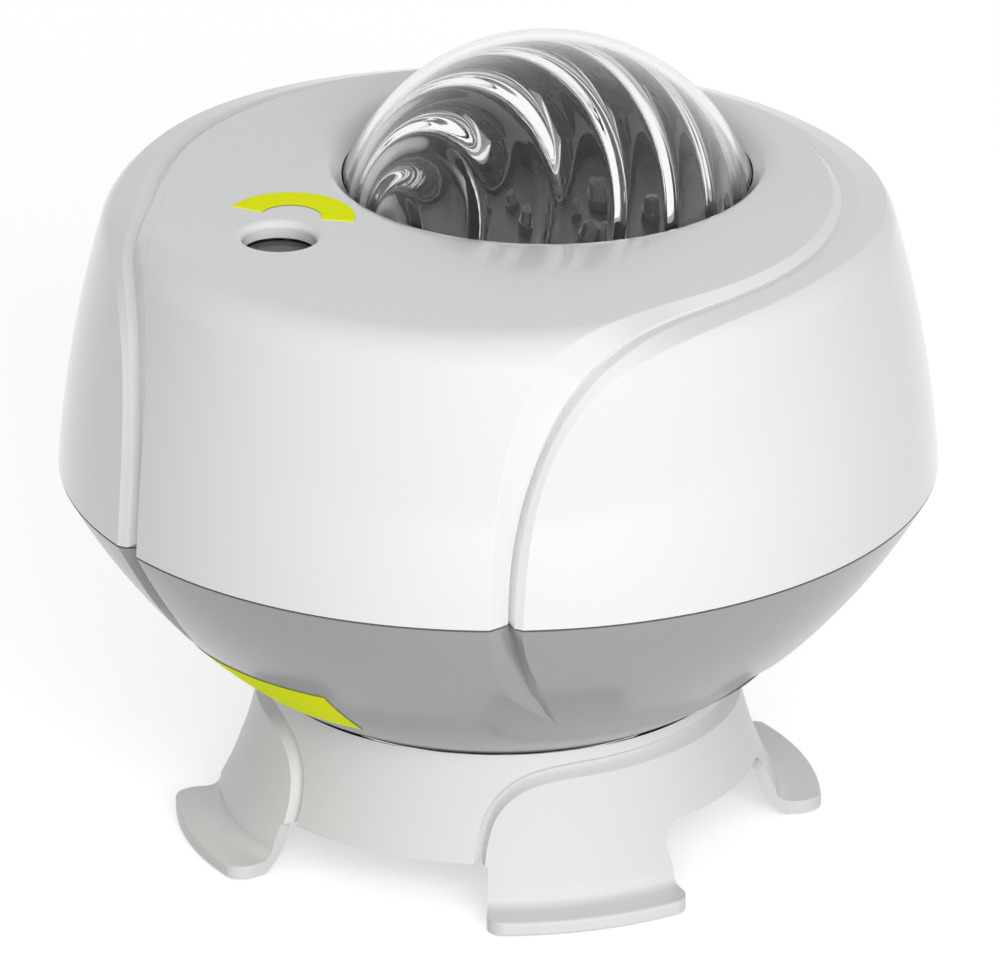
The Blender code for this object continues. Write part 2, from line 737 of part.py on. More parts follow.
def lower_holes():
    makers = []
    for place in column_places():
        makers.append(lambda p=place: turned("hole", shell_screw_hole(), None, p, TINY_SIDES))
    for place in board_post_places():
        low = MAIN_BOARD_HEIGHT - SMALL_SCREW_LENGTH - 1.5
        high = MAIN_BOARD_HEIGHT + 1.0
        makers.append(lambda p=place, a=low, b=high: disc("hole", SMALL_SCREW + GAP, a, b, None, p,
                                                          PILOT_SIDES))
    for _, turn, place in button_frames():
        makers.append(lambda u=turn, p=place: disc("hole", BUTTON_RADIUS + GAP, -6.0, 3.0, None, p, 12, u))
    for turn, place in strip_ends():
        a = -strip_depth() - 1.0
        b = -strip_depth() + 4.0
        makers.append(lambda u=turn, p=place, a=a, b=b: disc("hole", SMALL_SCREW + GAP, a, b, None, p,
                                                             PILOT_SIDES, u))
    for side in (-1, 1):
        spot = (0.0, side * INLET_SCREW_SPREAD, port_middle())
        a = PORT_FACE - INLET_LENGTH - 1.0
        b = PORT_FACE - 1.2
        makers.append(lambda p=spot, a=a, b=b: disc("hole", SMALL_SCREW + GAP, a, b, None, p,
                                                    PILOT_SIDES, sideways()))
    socket = rounded_box(INLET_HEIGHT + 2 * GAP, INLET_WIDTH + 2 * GAP, INLET_HEIGHT / 2, 2)
    middle = (0.0, 0.0, port_middle())
    back = PORT_FACE - INLET_LENGTH - 1.0
    makers.append(lambda: prism("hole", socket, back, PORT_FACE + 1.0, None, middle, lean=sideways()))
    half, reach = GRILLE_WIDTH / 2, GRILLE_LENGTH / 2
    for k in range(GRILLE_SLOTS):
        turn = Matrix.Rotation(2.0 * pi * (k + 0.5) / GRILLE_SLOTS, 3, "Z")
        ends = ((-half, -reach), (half, -reach), (half, reach), (-half, reach))
        slot = [tuple(turn @ Vector((x, y + GRILLE_CIRCLE, 0.0)))[:2] for x, y in ends]
        makers.append(lambda o=slot: prism("slot", o, 15.0, 26.0))
    return grouped("lower_holes", makers)


def dome_cover():
    """Smooth clear cap with a flange under the top wall."""
    centre = dome_centre_height()
    flange_top = TOP_HEIGHT - TOP_WALL - GAP
    flange_low = flange_top - DOME_WALL
    inner = DOME_RADIUS - DOME_WALL
    edge = degrees(asin((flange_top - centre) / DOME_RADIUS))
    inner_edge = degrees(asin((flange_low - centre) / inner))
    outer_arc = arc((0.0, centre), DOME_RADIUS, edge, 90.0, 5)
    inner_arc = arc((0.0, centre), inner, 90.0, inner_edge, 5)
    rim = well_radius() + DOME_FLANGE
    profile = [(rim, flange_low), (rim, flange_top)] + outer_arc[:-1] + [(0.0, centre + DOME_RADIUS)]
    profile += [(0.0, centre + inner)] + inner_arc[1:]
    place = (0.0, DOME_BACK, 0.0)
    return turned("dome_cover", profile, "clear", place, 30)


def swirl_core(radius, centre):
    """The swirl dome's hollow: a ball whose ribs wind outwards round a leaning pole.

    They lie close together on the pole's near side and wide apart on its far side.
    """
    columns = 26
    rows = SWIRL_BANDS * 3
    lean = Matrix.Rotation(radians(SWIRL_POLE[1]), 3, "Z") @ Matrix.Rotation(radians(SWIRL_POLE[0]), 3, "X")
    points = []
    rings = []
    for i in range(rows + 1):
        share = i / rows
        if i in (0, rows):
            rings.append([len(points)] * columns)
            points.append(lean @ Vector((0.0, 0.0, cos(pi * share) * (radius - SWIRL_RIB / 2))))
            continue
        rings.append(list(range(len(points), len(points) + columns)))
        for j in range(columns):
            turn = 2 * pi * j / columns
            reach = 1.0 + SWIRL_REACH * cos(turn - radians(SWIRL_REACH_ANGLE))
            down = pi * share / (share + (1.0 - share) / reach)
            phase = 2 * pi * SWIRL_BANDS * share + SWIRL_STARTS * turn
            fade = min(1.0, 2.5 * sin(down))
            r = radius - SWIRL_RIB * (0.5 - 0.5 * cos(phase) * fade)
            flat = Vector((r * sin(down) * cos(turn), r * sin(down) * sin(turn), r * cos(down)))
            points.append(lean @ flat)
    faces = []
    for low, high in zip(rings, rings[1:]):
        for j in range(columns):
            n = (j + 1) % columns
            faces.append(list(dict.fromkeys([low[j], low[n], high[n], high[j]])))
    return add_object("swirl_core", mesh_from("swirl_core", points, faces), None, (0.0, DOME_BACK, centre))


def swirl_radius():
    return DOME_RADIUS - DOME_WALL - 2 * GAP


def swirl_foot():
    return dome_centre_height() + SWIRL_BASE


def swirl_dome():
    """Clear turning dome: smooth outside, with the swirling ribs inside."""
    centre = dome_centre_height()
    radius = swirl_radius()
    edge = degrees(asin(SWIRL_BASE / radius))
    profile = [(0.0, swirl_foot())] + arc((0.0, centre), radius, edge, 90.0, 5)[:-1]
    profile.append((0.0, centre + radius))
    dome = turned("swirl_dome", profile, "clear", (0.0, DOME_BACK, 0.0), 30)
    cut(dome, swirl_core(radius - SWIRL_WALL, centre))
    return dome


def gear_outline(teeth, phase):
    """Straight-flanked teeth on a pitch circle, one tooth at the given direction."""
    pitch = pitch_radius(teeth)
    tip = pitch + 0.85 * GEAR_MODULE
    root = pitch - 1.15 * GEAR_MODULE
    step = 360.0 / teeth
    half = step / 4.0 - degrees(GEAR_BACKLASH / pitch)
    top = half * 0.5
    foot = half * 1.45
    outline = []
    for k in range(teeth):
        middle = phase + step * k
        for turn, radius in ((-foot, root), (-top, tip), (top, tip), (foot, root)):
            a = radians(middle + turn)
            outline.append((radius * cos(a), radius * sin(a)))
    return outline


def ringed(name, outline, bore, low, high, slot, place, sides):
    """A gear blank with a round bore, as one closed body."""
    thing = prism(name, outline, low, high, slot, place, 30.0)
    cut(thing, disc(name + "_bore", bore, low - 1.0, high + 1.0, None, place, sides))
    return thing


def gear_height():
    return swirl_foot() - GAP - GEAR_FACE


def collar_radius():
    return swirl_radius() - SWIRL_WALL - SWIRL_RIB - 2.6


def dome_ring_gear():
    low = gear_height()
    outline = gear_outline(RING_TEETH, pinion_direction())
    place = (0.0, DOME_BACK, 0.0)
    bore = collar_radius() + GAP
    return ringed("dome_ring_gear", outline, bore, low, low + GEAR_FACE, "gear_plastic", place, 32)


def pinion_direction():
    """The direction from the dome's axis to the pinion, in degrees from +X."""
    x, y = pinion_place()
    return degrees(atan2(y - DOME_BACK, x))


def pinion_phase():
    """The pinion shows a gap to the ring gear, whose tooth points at it."""
    return pinion_direction() + 180.0 + 180.0 / PINION_TEETH


def star_phase():
    """The star disc's teeth meet the pinion's gaps on the line between them."""
    x, y = pinion_place()
    towards = degrees(atan2(LASER_Y - y, LASER_X - x))
    step = 360.0 / PINION_TEETH
    ahead = (towards - pinion_phase()) / step
    lead = (ahead - round(ahead)) * step
    own_step = 360.0 / STAR_TEETH
    return towards + 180.0 + own_step / 2 + lead * PINION_TEETH / STAR_TEETH


def drive_pinion():
    x, y = pinion_place()
    low = gear_height()
    outline = gear_outline(PINION_TEETH, pinion_phase())
    place = (x, y, 0.0)
    bore = SHAFT_RADIUS + GAP
    return ringed("drive_pinion", outline, bore, low, low + GEAR_FACE, "gear_plastic", place, 12)


def star_disc():
    """Grating disc with a toothed rim, turning on the laser holder's nose."""
    low = gear_height()
    place = (LASER_X, LASER_Y, 0.0)
    outline = gear_outline(STAR_TEETH, star_phase())
    disc_body = prism("star_disc", outline, low, low + GEAR_FACE, "clear", place, 30.0)
    bore_top = low + GEAR_FACE - STAR_SKIN
    cut(disc_body, disc("star_bore", nose_radius() + GAP, low - 1.0, bore_top, None, place, 20))
    return disc_body


def nose_radius():
    return pitch_radius(STAR_TEETH) - 1.15 * GEAR_MODULE - 2.4


def gear_motor():
    """Geared motor under the frame, with its shaft through the plate."""
    x, y = pinion_place()
    low = frame_height() - GAP
    foot = low - MOTOR_LENGTH
    across, along, tall = MOTOR_BOX
    profile = [(0.0, foot), (1.5, foot), (1.5, foot + 1.0), (MOTOR_RADIUS, foot + 1.0)]
    profile += [(MOTOR_RADIUS, low - tall + 0.5), (0.0, low - tall + 0.5)]
    can = turned("motor_can", profile, None, (x, y, 0.0), 16)
    shaft_top = gear_height() + GEAR_FACE - 0.4
    shaft = disc("motor_shaft", SHAFT_RADIUS, low - 4.0, shaft_top, None, (x, y, 0.0), 10)
    turn = Matrix.Rotation(radians(pinion_direction()), 3, "Z")
    outline = [tuple(turn @ Vector((px, py, 0.0)))[:2] for px, py in rounded_box(across, along, 1.0, 2)]
    motor = prism("gear_motor", outline, low - tall, low, "steel", (x, y, 0.0))
    cut(motor, can, "UNION")
    cut(motor, shaft, "UNION")
    return motor


def light_frame():
    """Plate that carries the drive and the lamps, on columns from the bowl."""
    plate_top = frame_height() + FRAME_PLATE
    frame = disc("light_frame", frame_radius(), frame_height(), plate_top, "frame_plastic", sides=32)
    outer = collar_radius()
    inner = outer - COLLAR_WALL
    shelf = gear_height() - GAP
    shelf_radius = outer + SHELF_WIDTH
    foot = plate_top - 1.0
    profile = [(inner, foot), (shelf_radius, foot), (shelf_radius, shelf), (outer, shelf)]
    profile += [(outer, gear_height() + GEAR_FACE), (inner, gear_height() + GEAR_FACE)]
    cut(frame, turned("collar", profile, None, (0.0, DOME_BACK, 0.0), 28), "UNION")
    columns = []
    holes = []
    for place in column_places():
        high = plate_top - 0.7
        columns.append(lambda p=place, h=high: disc("column", COLUMN_RADIUS, COLUMN_FOOT + GAP, h, None, p,
                                                    TINY_SIDES))
        top = COLUMN_FOOT + SHELL_SCREW_LENGTH - 4.0
        holes.append(lambda p=place, t=top: disc("hole", SCREW_RADIUS + GAP, COLUMN_FOOT - 1.0, t, None, p,
                                                 PILOT_SIDES))

    def through(radius, place, sides):
        return lambda: disc("hole", radius, frame_height() - 1.0, plate_top + 1.0, None, place, sides)

    holes += [through(SCREW_RADIUS + GAP, place, PILOT_SIDES) for place in boss_places()]
    x, y = pinion_place()
    holes.append(through(2 * SHAFT_RADIUS, (x, y, 0.0), 10))
    holes.append(through(HOLDER_RADIUS + GAP, (LASER_X, LASER_Y, 0.0), 16))
    holes.append(through(VENT_RADIUS, (0.0, DOME_BACK, 0.0), 16))
    cut(frame, grouped("frame_columns", columns), "UNION")
    cut(frame, grouped("frame_holes", holes))
    return frame


def laser_holder():
    """Heat-sink barrel that stands on the frame and carries the star disc."""
    plate_top = frame_height() + FRAME_PLATE + GAP
    nose_top = gear_height() + GEAR_FACE - STAR_SKIN - GAP
    nose = nose_radius()
    foot = frame_height() - HOLDER_DROP
    shoulder_top = gear_height() - GAP
    profile = [(HOLDER_BORE, foot), (HOLDER_RADIUS, foot), (HOLDER_RADIUS, plate_top)]
    profile += [(HOLDER_SHOULDER, plate_top), (HOLDER_SHOULDER, shoulder_top), (nose, shoulder_top)]
    profile += [(nose, nose_top), (1.6, nose_top), (1.6, nose_top - 1.6), (HOLDER_BORE, nose_top - 1.6)]
    return turned("laser_holder", profile, "aluminium", (LASER_X, LASER_Y, 0.0), 14)


def laser_module():
    top = gear_height() + GEAR_FACE - STAR_SKIN - 1.6 - 2 * GAP
    low = frame_height() - MODULE_DROP
    profile = [(0.0, low), (MODULE_RADIUS, low), (MODULE_RADIUS, top - 1.0), (MODULE_RADIUS - 0.5, top)]
    profile.append((0.0, top))
    return turned("laser_module", profile, "brass", (LASER_X, LASER_Y, 0.0), 10)


def laser_window():
    high = TOP_HEIGHT - TOP_WALL - GAP
    profile = [(0.0, high - WINDOW_THICK), (APERTURE_RADIUS + WINDOW_RIM, high - WINDOW_THICK)]
    profile += [(APERTURE_RADIUS + WINDOW_RIM, high), (0.0, high)]
    return turned("laser_window", profile, "clear", (LASER_X, LASER_Y, 0.0), 16)


def led_height():
    return frame_height() + FRAME_PLATE + GAP + SINK_HEIGHT


def heat_sink():
    """Finned plate under the lamps, standing inside the collar."""
    low = frame_height() + FRAME_PLATE + GAP
    high = led_height() - GAP
    radius = collar_radius() - COLLAR_WALL - GAP
    sink = disc("heat_sink", radius, low, high, "aluminium", (0.0, DOME_BACK, 0.0), 28)
    slots = []
    for k in range(-2, 3):
        a = (k * 9.6 - 2.4, -radius - 2.0)
        b = (k * 9.6 + 2.4, radius + 2.0)
        slots.append(lambda a=a, b=b: box("slot", (a[0], a[1], low - 1.0), (b[0], b[1], high - 2.0)))
    fins = grouped("fin_slots", slots)
    fins.location = Vector((0.0, DOME_BACK, 0.0)) * MM
    cut(sink, fins)
    return sink


def led_board():
    low = led_height()
    return disc("led_board", LED_BOARD_RADIUS, low, low + BOARD, "board", (0.0, DOME_BACK, 0.0), 24)


def leds():
    low = led_height() + BOARD + GAP
    made = []
    for k in range(LED_COUNT):
        x, y, _ = around(45.0 + 360.0 * k / LED_COUNT, LED_CIRCLE)
        profile = [(0.0, low), (LED_RADIUS, low), (LED_RADIUS, low + 1.2)]
        profile += arc((0.0, low + 1.2), LED_RADIUS - 0.8, 0.0, 45.0, 1) + [(0.0, low + 0.4 + LED_RADIUS)]
        made.append(turned("led_%d" % (k + 1), profile, "led", (x, DOME_BACK + y, 0.0), 8))
    return made


def main_board():
    low = MAIN_BOARD_HEIGHT
    high = low + BOARD
    board = disc("main_board", MAIN_BOARD_RADIUS, low, high, "board", sides=24)
    chips = [
        ((-8.0, -9.0), (8.0, 7.0), 2.2),
        ((14.0, -12.0), (24.0, -4.0), 3.0),
        ((-27.0, 8.0), (-17.0, 22.0), 4.0),
        ((-10.0, 20.0), (6.0, 27.0), 5.0),
    ]
    makers = []
    for a, b, rise in chips:
        makers.append(lambda a=a, b=b, r=rise: box("chip", (a[0], a[1], low + 0.5), (b[0], b[1], high + r)))
    for x, y in ((9.0, -24.0), (18.0, 14.0)):
        makers.append(lambda x=x, y=y: disc("can", 3.2, low + 0.5, high + 8.0, None, (x, y, 0.0), 8))
    cut(board, grouped("board_parts", makers), "UNION")
    holes = []
    for place in column_places():
        holes.append(lambda p=place: disc("hole", COLUMN_RADIUS + GAP, low - 1.0, high + 1.0, None, p, 10))
    for place in board_post_places():
        holes.append(lambda p=place: disc("hole", SMALL_SCREW + GAP, low - 1.0, high + 1.0, None, p,
                                          PILOT_SIDES))
    cut(board, grouped("board_holes", holes))
    return board


def speaker():
    """Down-firing loudspeaker: basket, cone and magnet."""
    low = SPEAKER_HEIGHT
    rim = SPEAKER_RADIUS
    back = low + SPEAKER_DEPTH
    profile = [(rim - 3.5, low), (rim, low), (rim, low + 1.6), (rim - 3.0, low + 1.6)]
    profile.append((MAGNET_RADIUS - 1.0, back))
    profile += [(5.2, back), (5.2, back - 1.2), (MAGNET_RADIUS - 1.8, back - 1.2), (rim - 4.2, low + 1.6)]
    basket = turned("speaker_basket", profile, "steel", sides=20)
    magnet = disc("speaker_magnet", MAGNET_RADIUS, back + GAP, back + GAP + MAGNET_THICK, "magnet", sides=16)
    edge = rim - 5.2
    cone_profile = [(0.0, low + 5.0), (5.0, low + 6.0), (edge - 1.5, low + 0.3), (edge, low + 0.3)]
    cone_profile += [(edge, low + 0.9), (edge - 1.4, low + 0.9), (4.6, low + 7.0), (4.6, back), (0.0, back)]
    cone = turned("speaker_cone", cone_profile, "paper", sides=16)
    return basket, magnet, cone


def screw(name, radius, head, head_height, length, place, turn=None, slot="steel"):
    """A pan-head screw; its shank points along its own +Z, its head lies below 0."""
    profile = [(0.0, -head_height), (head * 0.75, -head_height), (head, 0.0), (radius, 0.0)]
    profile += [(radius * 0.8, length), (0.0, length)]
    return turned(name, profile, slot, place, TINY_SIDES if radius > SMALL_SCREW else 6, turn)


def shell_screws():
    made = []
    for k, place in enumerate(column_places()):
        seat = COLUMN_FOOT - SCREW_SHELF - GAP
        spot = (place[0], place[1], seat)
        made.append(screw("shell_screw_%d" % (k + 1), SCREW_RADIUS, SCREW_HEAD, SCREW_HEAD_HEIGHT,
                          SHELL_SCREW_LENGTH, spot))
    return made


def frame_screws():
    made = []
    for k, place in enumerate(boss_places()):
        spot = (place[0], place[1], frame_height() - GAP)
        made.append(screw("frame_screw_%d" % (k + 1), SCREW_RADIUS, SCREW_HEAD, SCREW_HEAD_HEIGHT,
                          FRAME_SCREW_LENGTH, spot))
    return made


def board_screws():
    over = Matrix.Rotation(pi, 3, "X")
    made = []
    for k, place in enumerate(board_post_places()):
        spot = (place[0], place[1], MAIN_BOARD_HEIGHT + BOARD + GAP)
        made.append(screw("board_screw_%d" % (k + 1), SMALL_SCREW, SMALL_HEAD, SMALL_HEAD_HEIGHT,
                          SMALL_SCREW_LENGTH + 1.0, spot, over))
    return made


def power_inlet():
    """Flat oval socket with a blind mouth, on its own small board."""
    middle = (0.0, 0.0, port_middle())
    back = PORT_FACE - INLET_LENGTH
    outline = rounded_box(INLET_HEIGHT, INLET_WIDTH, INLET_HEIGHT / 2 - 0.05, 3)
    socket = prism("power_inlet", outline, back + GAP, PORT_FACE, "steel", middle, lean=sideways())
    mouth = rounded_box(INLET_HEIGHT - 0.8, INLET_WIDTH - 0.8, INLET_HEIGHT / 2 - 0.45, 3)
    cut(socket, prism("inlet_mouth", mouth, PORT_FACE - 5.5, PORT_FACE + 1.0, None, middle, lean=sideways()))
    plate = rounded_box(INLET_BOARD_HEIGHT, INLET_BOARD_WIDTH, 1.0, 2)
    board = prism("inlet_board", plate, back - BOARD, back, "board", middle, lean=sideways())
    holes = []
    for side in (-1, 1):
        spot = (0.0, side * INLET_SCREW_SPREAD, port_middle())
        holes.append(lambda p=spot: disc("hole", SMALL_SCREW + GAP, back - BOARD - 1.0, back + 1.0, None, p,
                                         PILOT_SIDES, sideways()))
    cut(board, grouped("inlet_board_holes", holes))
    for k, side in enumerate((-1, 1)):
        spot = (back - BOARD - GAP, side * INLET_SCREW_SPREAD, port_middle())
        screw("inlet_screw_%d" % (k + 1), SMALL_SCREW, SMALL_HEAD, SMALL_HEAD_HEIGHT, 5.0, spot, sideways())
    return socket


def buttons():
    made = []
    for k, (_, turn, place) in enumerate(button_frames()):
        low = -WALL - GAP - BUTTON_RIM
        profile = [(0.0, low), (BUTTON_RADIUS + 1.4, low), (BUTTON_RADIUS + 1.4, -WALL - GAP - 0.35)]
        profile += [(BUTTON_RADIUS, -WALL - GAP - 0.35), (BUTTON_RADIUS, BUTTON_PROUD), (0.0, BUTTON_PROUD)]
        made.append(turned("button_%d" % (k + 1), profile, "button", place, 12, turn))
    return made


def switch_strip():
    """Flexible board bent to the wall, with a push switch behind each button."""
    down, radius = wall_normal_down()
    tilt = radians(down)
    depth = strip_depth()
    step = degrees(BUTTON_PITCH / radius)
    half = step * (BUTTON_COUNT / 2 + 0.75)
    columns = 10
    points = []
    for k in range(columns + 1):
        angle = 180.0 - half + 2 * half * k / columns
        for off, rise in ((depth, -4.5), (depth + 1.0, -4.5), (depth + 1.0, 4.5), (depth, 4.5)):
            r = radius - off * cos(tilt) + rise * sin(tilt)
            z = button_height() + off * sin(tilt) + rise * cos(tilt)
            points.append(around(angle, r, z))
    faces = [[0, 1, 2, 3], [4 * columns + j for j in range(4)]]
    for k in range(columns):
        for j in range(4):
            n = (j + 1) % 4
            faces.append([4 * k + j, 4 * k + n, 4 * k + 4 + n, 4 * k + 4 + j])
    strip = add_object("switch_strip", mesh_from("switch_strip", points, faces), "board")
    makers = []
    for _, turn, place in button_frames():
        outline = rounded_box(5.0, 5.0, 0.6, 1)
        makers.append(lambda o=outline, u=turn, p=place: prism("body", o, -depth - 0.7, -depth + 2.6, None, p,
                                                               lean=u))
    cut(strip, grouped("switch_bodies", makers), "UNION")
    makers = []
    for _, turn, place in button_frames():
        makers.append(lambda u=turn, p=place: disc("plunger", 1.5, -depth + 2.0, -depth + 3.6, None, p, 8, u))
    cut(strip, grouped("switch_plungers", makers), "UNION")
    makers = []
    for turn, place in strip_ends():
        a = -depth - 3.0
        b = -depth + 1.0
        makers.append(lambda u=turn, p=place, a=a, b=b: disc("hole", SMALL_SCREW + GAP, a, b, None, p,
                                                             PILOT_SIDES, u))
    cut(strip, grouped("strip_holes", makers))
    for k, (turn, place) in enumerate(strip_ends()):
        seat = Vector(place) + turn @ Vector((0.0, 0.0, -depth - 1.0 - GAP - 0.25))
        screw("strip_screw_%d" % (k + 1), SMALL_SCREW, SMALL_HEAD, SMALL_HEAD_HEIGHT, 4.0, tuple(seat), turn)
    return strip


def stand_flare():
    top = (STAND_TOP_RADIUS, STAND_TOP_HEIGHT)
    ring = (STAND_RING_RADIUS, STAND_RING_FOOT)
    leg = (STAND_LEG_RADIUS, STAND_LEG_HEIGHT)
    return circle_through(top, ring, leg)


def stand_radius(height):
    """The stand's outer radius at a height."""
    centre, radius = stand_flare()
    return centre[0] - sqrt(max(radius**2 - (height - centre[1])**2, 1.0))


def bowl_height(radius, off=0.0):
    """The bowl's lower skin at a radius, moved off it outwards."""
    return ROCK_HEIGHT - sqrt((BOWL_RADIUS + off)**2 - radius**2)


def stand():
    """Four-footed cradle, cut from one turned flare."""
    toe_top = TOE_BOTTOM + TOE_THICK
    heights = np.linspace(STAND_TOP_HEIGHT, STAND_LEG_HEIGHT, 5)
    outer = [(stand_radius(z), z) for z in heights]
    bend = 4.2
    foot = outer[-1]
    drop = foot[1] - toe_top
    outer += [(foot[0] + 0.75 * bend * t**2, foot[1] - drop * (1.0 - (1.0 - t)**2)) for t in (0.4, 1.0)]
    outer += [(TOE_RADIUS, toe_top), (TOE_RADIUS, TOE_BOTTOM)]
    inner_heel = STAND_LEG_RADIUS - STAND_WALL
    inner = [(inner_heel + 2.4, TOE_BOTTOM), (inner_heel - 0.3, STAND_LEG_HEIGHT)]
    ledge_top = SEAT_HEIGHT - GAP
    for z in (STAND_RING_FOOT, ledge_top - LEDGE_THICK - 2.0):
        inner.append((stand_radius(z) - STAND_WALL, z))
    inner += [(LEDGE_RADIUS, ledge_top - LEDGE_THICK), (LEDGE_RADIUS, ledge_top)]
    seat_out = LEDGE_RADIUS + SEAT_WIDTH + 2 * GAP
    inner += [(seat_out, ledge_top), (seat_out, bowl_height(seat_out, 3 * GAP))]
    body = turned("stand", outer + inner, "stand_white")
    cut(body, foot_gaps())
    cut(body, ring_gaps())
    for cutter in (lip_recess(), tongue_recess(), stand_groove(), pad_recesses()):
        cut(body, cutter, solver="MANIFOLD")
    return body


def pad_outline(angle, grow):
    """A strip with round ends under one foot, across the foot's direction."""
    turn = Matrix.Rotation(radians(angle), 3, "Z")
    outline = rounded_box(PAD_WIDTH + 2 * grow, PAD_DEPTH + 2 * grow, PAD_DEPTH / 2 + grow, 3)
    return [tuple(turn @ Vector((x, y - PAD_CIRCLE, 0.0)))[:2] for x, y in outline]


def pad_recesses():
    makers = []
    for angle in foot_angles():
        outline = pad_outline(angle, GAP)
        makers.append(lambda o=outline: prism("recess", o, TOE_BOTTOM - 1.0, PAD_THICK + GAP))
    return grouped("pad_recesses", makers)


def foot_angles():
    return (FOOT_ANGLE, 180.0 - FOOT_ANGLE, 180.0 + FOOT_ANGLE, 360.0 - FOOT_ANGLE)


def toe_corner(edge, along, side):
    """Rounding points where a foot's edge meets the toe's outer circle."""
    edge = np.array(edge)
    along = np.array(along)
    reach = -np.dot(edge, along) + sqrt(np.dot(edge, along)**2 + TOE_RADIUS**2 - np.dot(edge, edge))
    corner = edge + reach * along
    tangent = np.array([-corner[1], corner[0]]) / TOE_RADIUS * side
    middle = corner - TOE_CORNER * along + TOE_CORNER * tangent
    turns = np.linspace(0.0, pi / 2, 5)
    points = [middle + TOE_CORNER * (along * sin(t) - tangent * cos(t)) for t in turns]
    return [tuple(edge)] + [tuple(p) for p in points] + [tuple(points[-1] * 1.2)]


def foot_edges():
    """Plan edges of the gaps between feet: start point, direction and turn of the toe."""
    def radial(angle, side):
        return (around(angle, 30.0)[:2], around(angle, 1.0)[:2], side)

    def parallel(angle, offset, side):
        along = np.array(around(angle, 1.0)[:2])
        across = np.array(around(angle + 90.0, 1.0)[:2])
        start = along * 30.0 + across * offset
        return (tuple(start), tuple(along), side)

    front, back = FOOT_ANGLE, 180.0 - FOOT_ANGLE
    return (
        (radial(-LEG_FRONT_ANGLE, -1), radial(LEG_FRONT_ANGLE, 1)),
        (parallel(front, FOOT_HALF, -1), parallel(back, -FOOT_HALF, 1)),
        (radial(180.0 - LEG_FRONT_ANGLE, -1), radial(180.0 + LEG_FRONT_ANGLE, 1)),
        (parallel(-back, FOOT_HALF, -1), parallel(-front, -FOOT_HALF, 1)),
    )


def foot_gaps():
    """Cuts between the toes, with the toes' round corners."""
    makers = []
    for first, second in foot_edges():
        outline = toe_corner(*first) + toe_corner(*second)[::-1]
        top = TOE_BOTTOM + TOE_THICK + 1.2
        makers.append(lambda o=outline, t=top: prism("gap", o, TOE_BOTTOM - 1.0, t))
    return grouped("foot_gaps", makers)


def ring_gap(start, end, top, corner):
    """A gap under the ring between two legs, its upper corners rounded."""
    low = TOE_BOTTOM + 1.6
    middle = (STAND_RING_RADIUS + STAND_LEG_RADIUS) / 2
    turn = degrees(corner / middle)
    left = [(start, low)]
    if corner > 0.0:
        for t in np.radians(np.linspace(0.0, 90.0, 4)):
            left.append((start + turn * (1.0 - cos(t)), top - corner * (1.0 - sin(t))))
    else:
        left.append((start, top))
    right = [(end + start - a, z) for a, z in left][::-1]
    steps = 8
    a0, a1 = left[-1][0], right[0][0]
    bridge = [(a0 + (a1 - a0) * k / steps, top) for k in range(1, steps)]
    b0, b1 = right[-1][0], left[0][0]
    under = [(b0 + (b1 - b0) * k / steps, low) for k in range(1, steps)]
    outline = left + bridge + right + under
    count = len(outline)
    points = [around(a, 30.0, z) for a, z in outline] + [around(a, 70.0, z) for a, z in outline]
    faces = [[k, (k + 1) % count, (k + 1) % count + count, k + count] for k in range(count)]
    loop = list(range(count))
    half = count // 2
    for base in (0, count):
        for k in range(half):
            low, high = loop[k] + base, loop[(k + 1)] + base
            other_high, other_low = loop[(-k - 2) % count] + base, loop[(-k - 1) % count] + base
            quad = list(dict.fromkeys([low, high, other_high, other_low]))
            if len(quad) > 2:
                faces.append(quad)
    return add_object("gap", mesh_from("gap", points, faces))


def ring_gaps():
    side = LEG_SIDE_ANGLE
    front = LEG_FRONT_ANGLE
    makers = [
        lambda: ring_gap(-front, front, TONGUE_FOOT, 0.0),
        lambda: ring_gap(side, 180.0 - side, STAND_RING_FOOT, 4.0),
        lambda: ring_gap(180.0 - front, 180.0 + front, STAND_RING_FOOT, 0.0),
        lambda: ring_gap(180.0 + side, 360.0 - side, STAND_RING_FOOT, 4.0),
    ]
    return grouped("ring_gaps", makers)


def stand_groove_path():
    return smooth_path(STAND_GROOVE, 2)


def lip_recess():
    """Sets the ring's upper lip back all the way round."""
    low = STAND_GROOVE[-1][1] + 0.9
    high = STAND_TOP_HEIGHT + 2.0
    profile = [(stand_radius(low) - RECESS_DEPTH, low), (stand_radius(low) + 5.0, low)]
    profile += [(stand_radius(high) + 5.0, high), (stand_radius(high) - RECESS_DEPTH, high)]
    return turned("lip_recess", profile)


def tongue_recess():
    """Sets the front panel back between the two grooves."""
    path = stand_groove_path()
    rows = np.append(np.linspace(TONGUE_FOOT - 3.0, STAND_GROOVE[-1][1] + 1.2, 6), STAND_TOP_HEIGHT + 3.0)
    columns = 8
    points = []
    for z in rows:
        shoulder = STAND_GROOVE[5]
        half = float(np.interp(z, path[:, 1], path[:, 0])) if z < shoulder[1] else shoulder[0]
        for off in (-RECESS_DEPTH - 0.15, 5.0):
            for k in range(columns + 1):
                points.append(around(-half + 2 * half * k / columns, stand_radius(z) + off, z))
    width = columns + 1
    faces = []
    for i in range(len(rows) - 1):
        for j in range(columns):
            for layer in (0, width):
                a = i * 2 * width + layer + j
                faces.append([a, a + 1, a + 1 + 2 * width, a + 2 * width])
        for j in (0, columns):
            a = i * 2 * width + j
            faces.append([a, a + width, a + 3 * width, a + 2 * width])
    for i in (0, len(rows) - 1):
        for j in range(columns):
            a = i * 2 * width + j
            faces.append([a, a + 1, a + 1 + width, a + width])
    return add_object("tongue_recess", mesh_from("tongue_recess", points, faces))


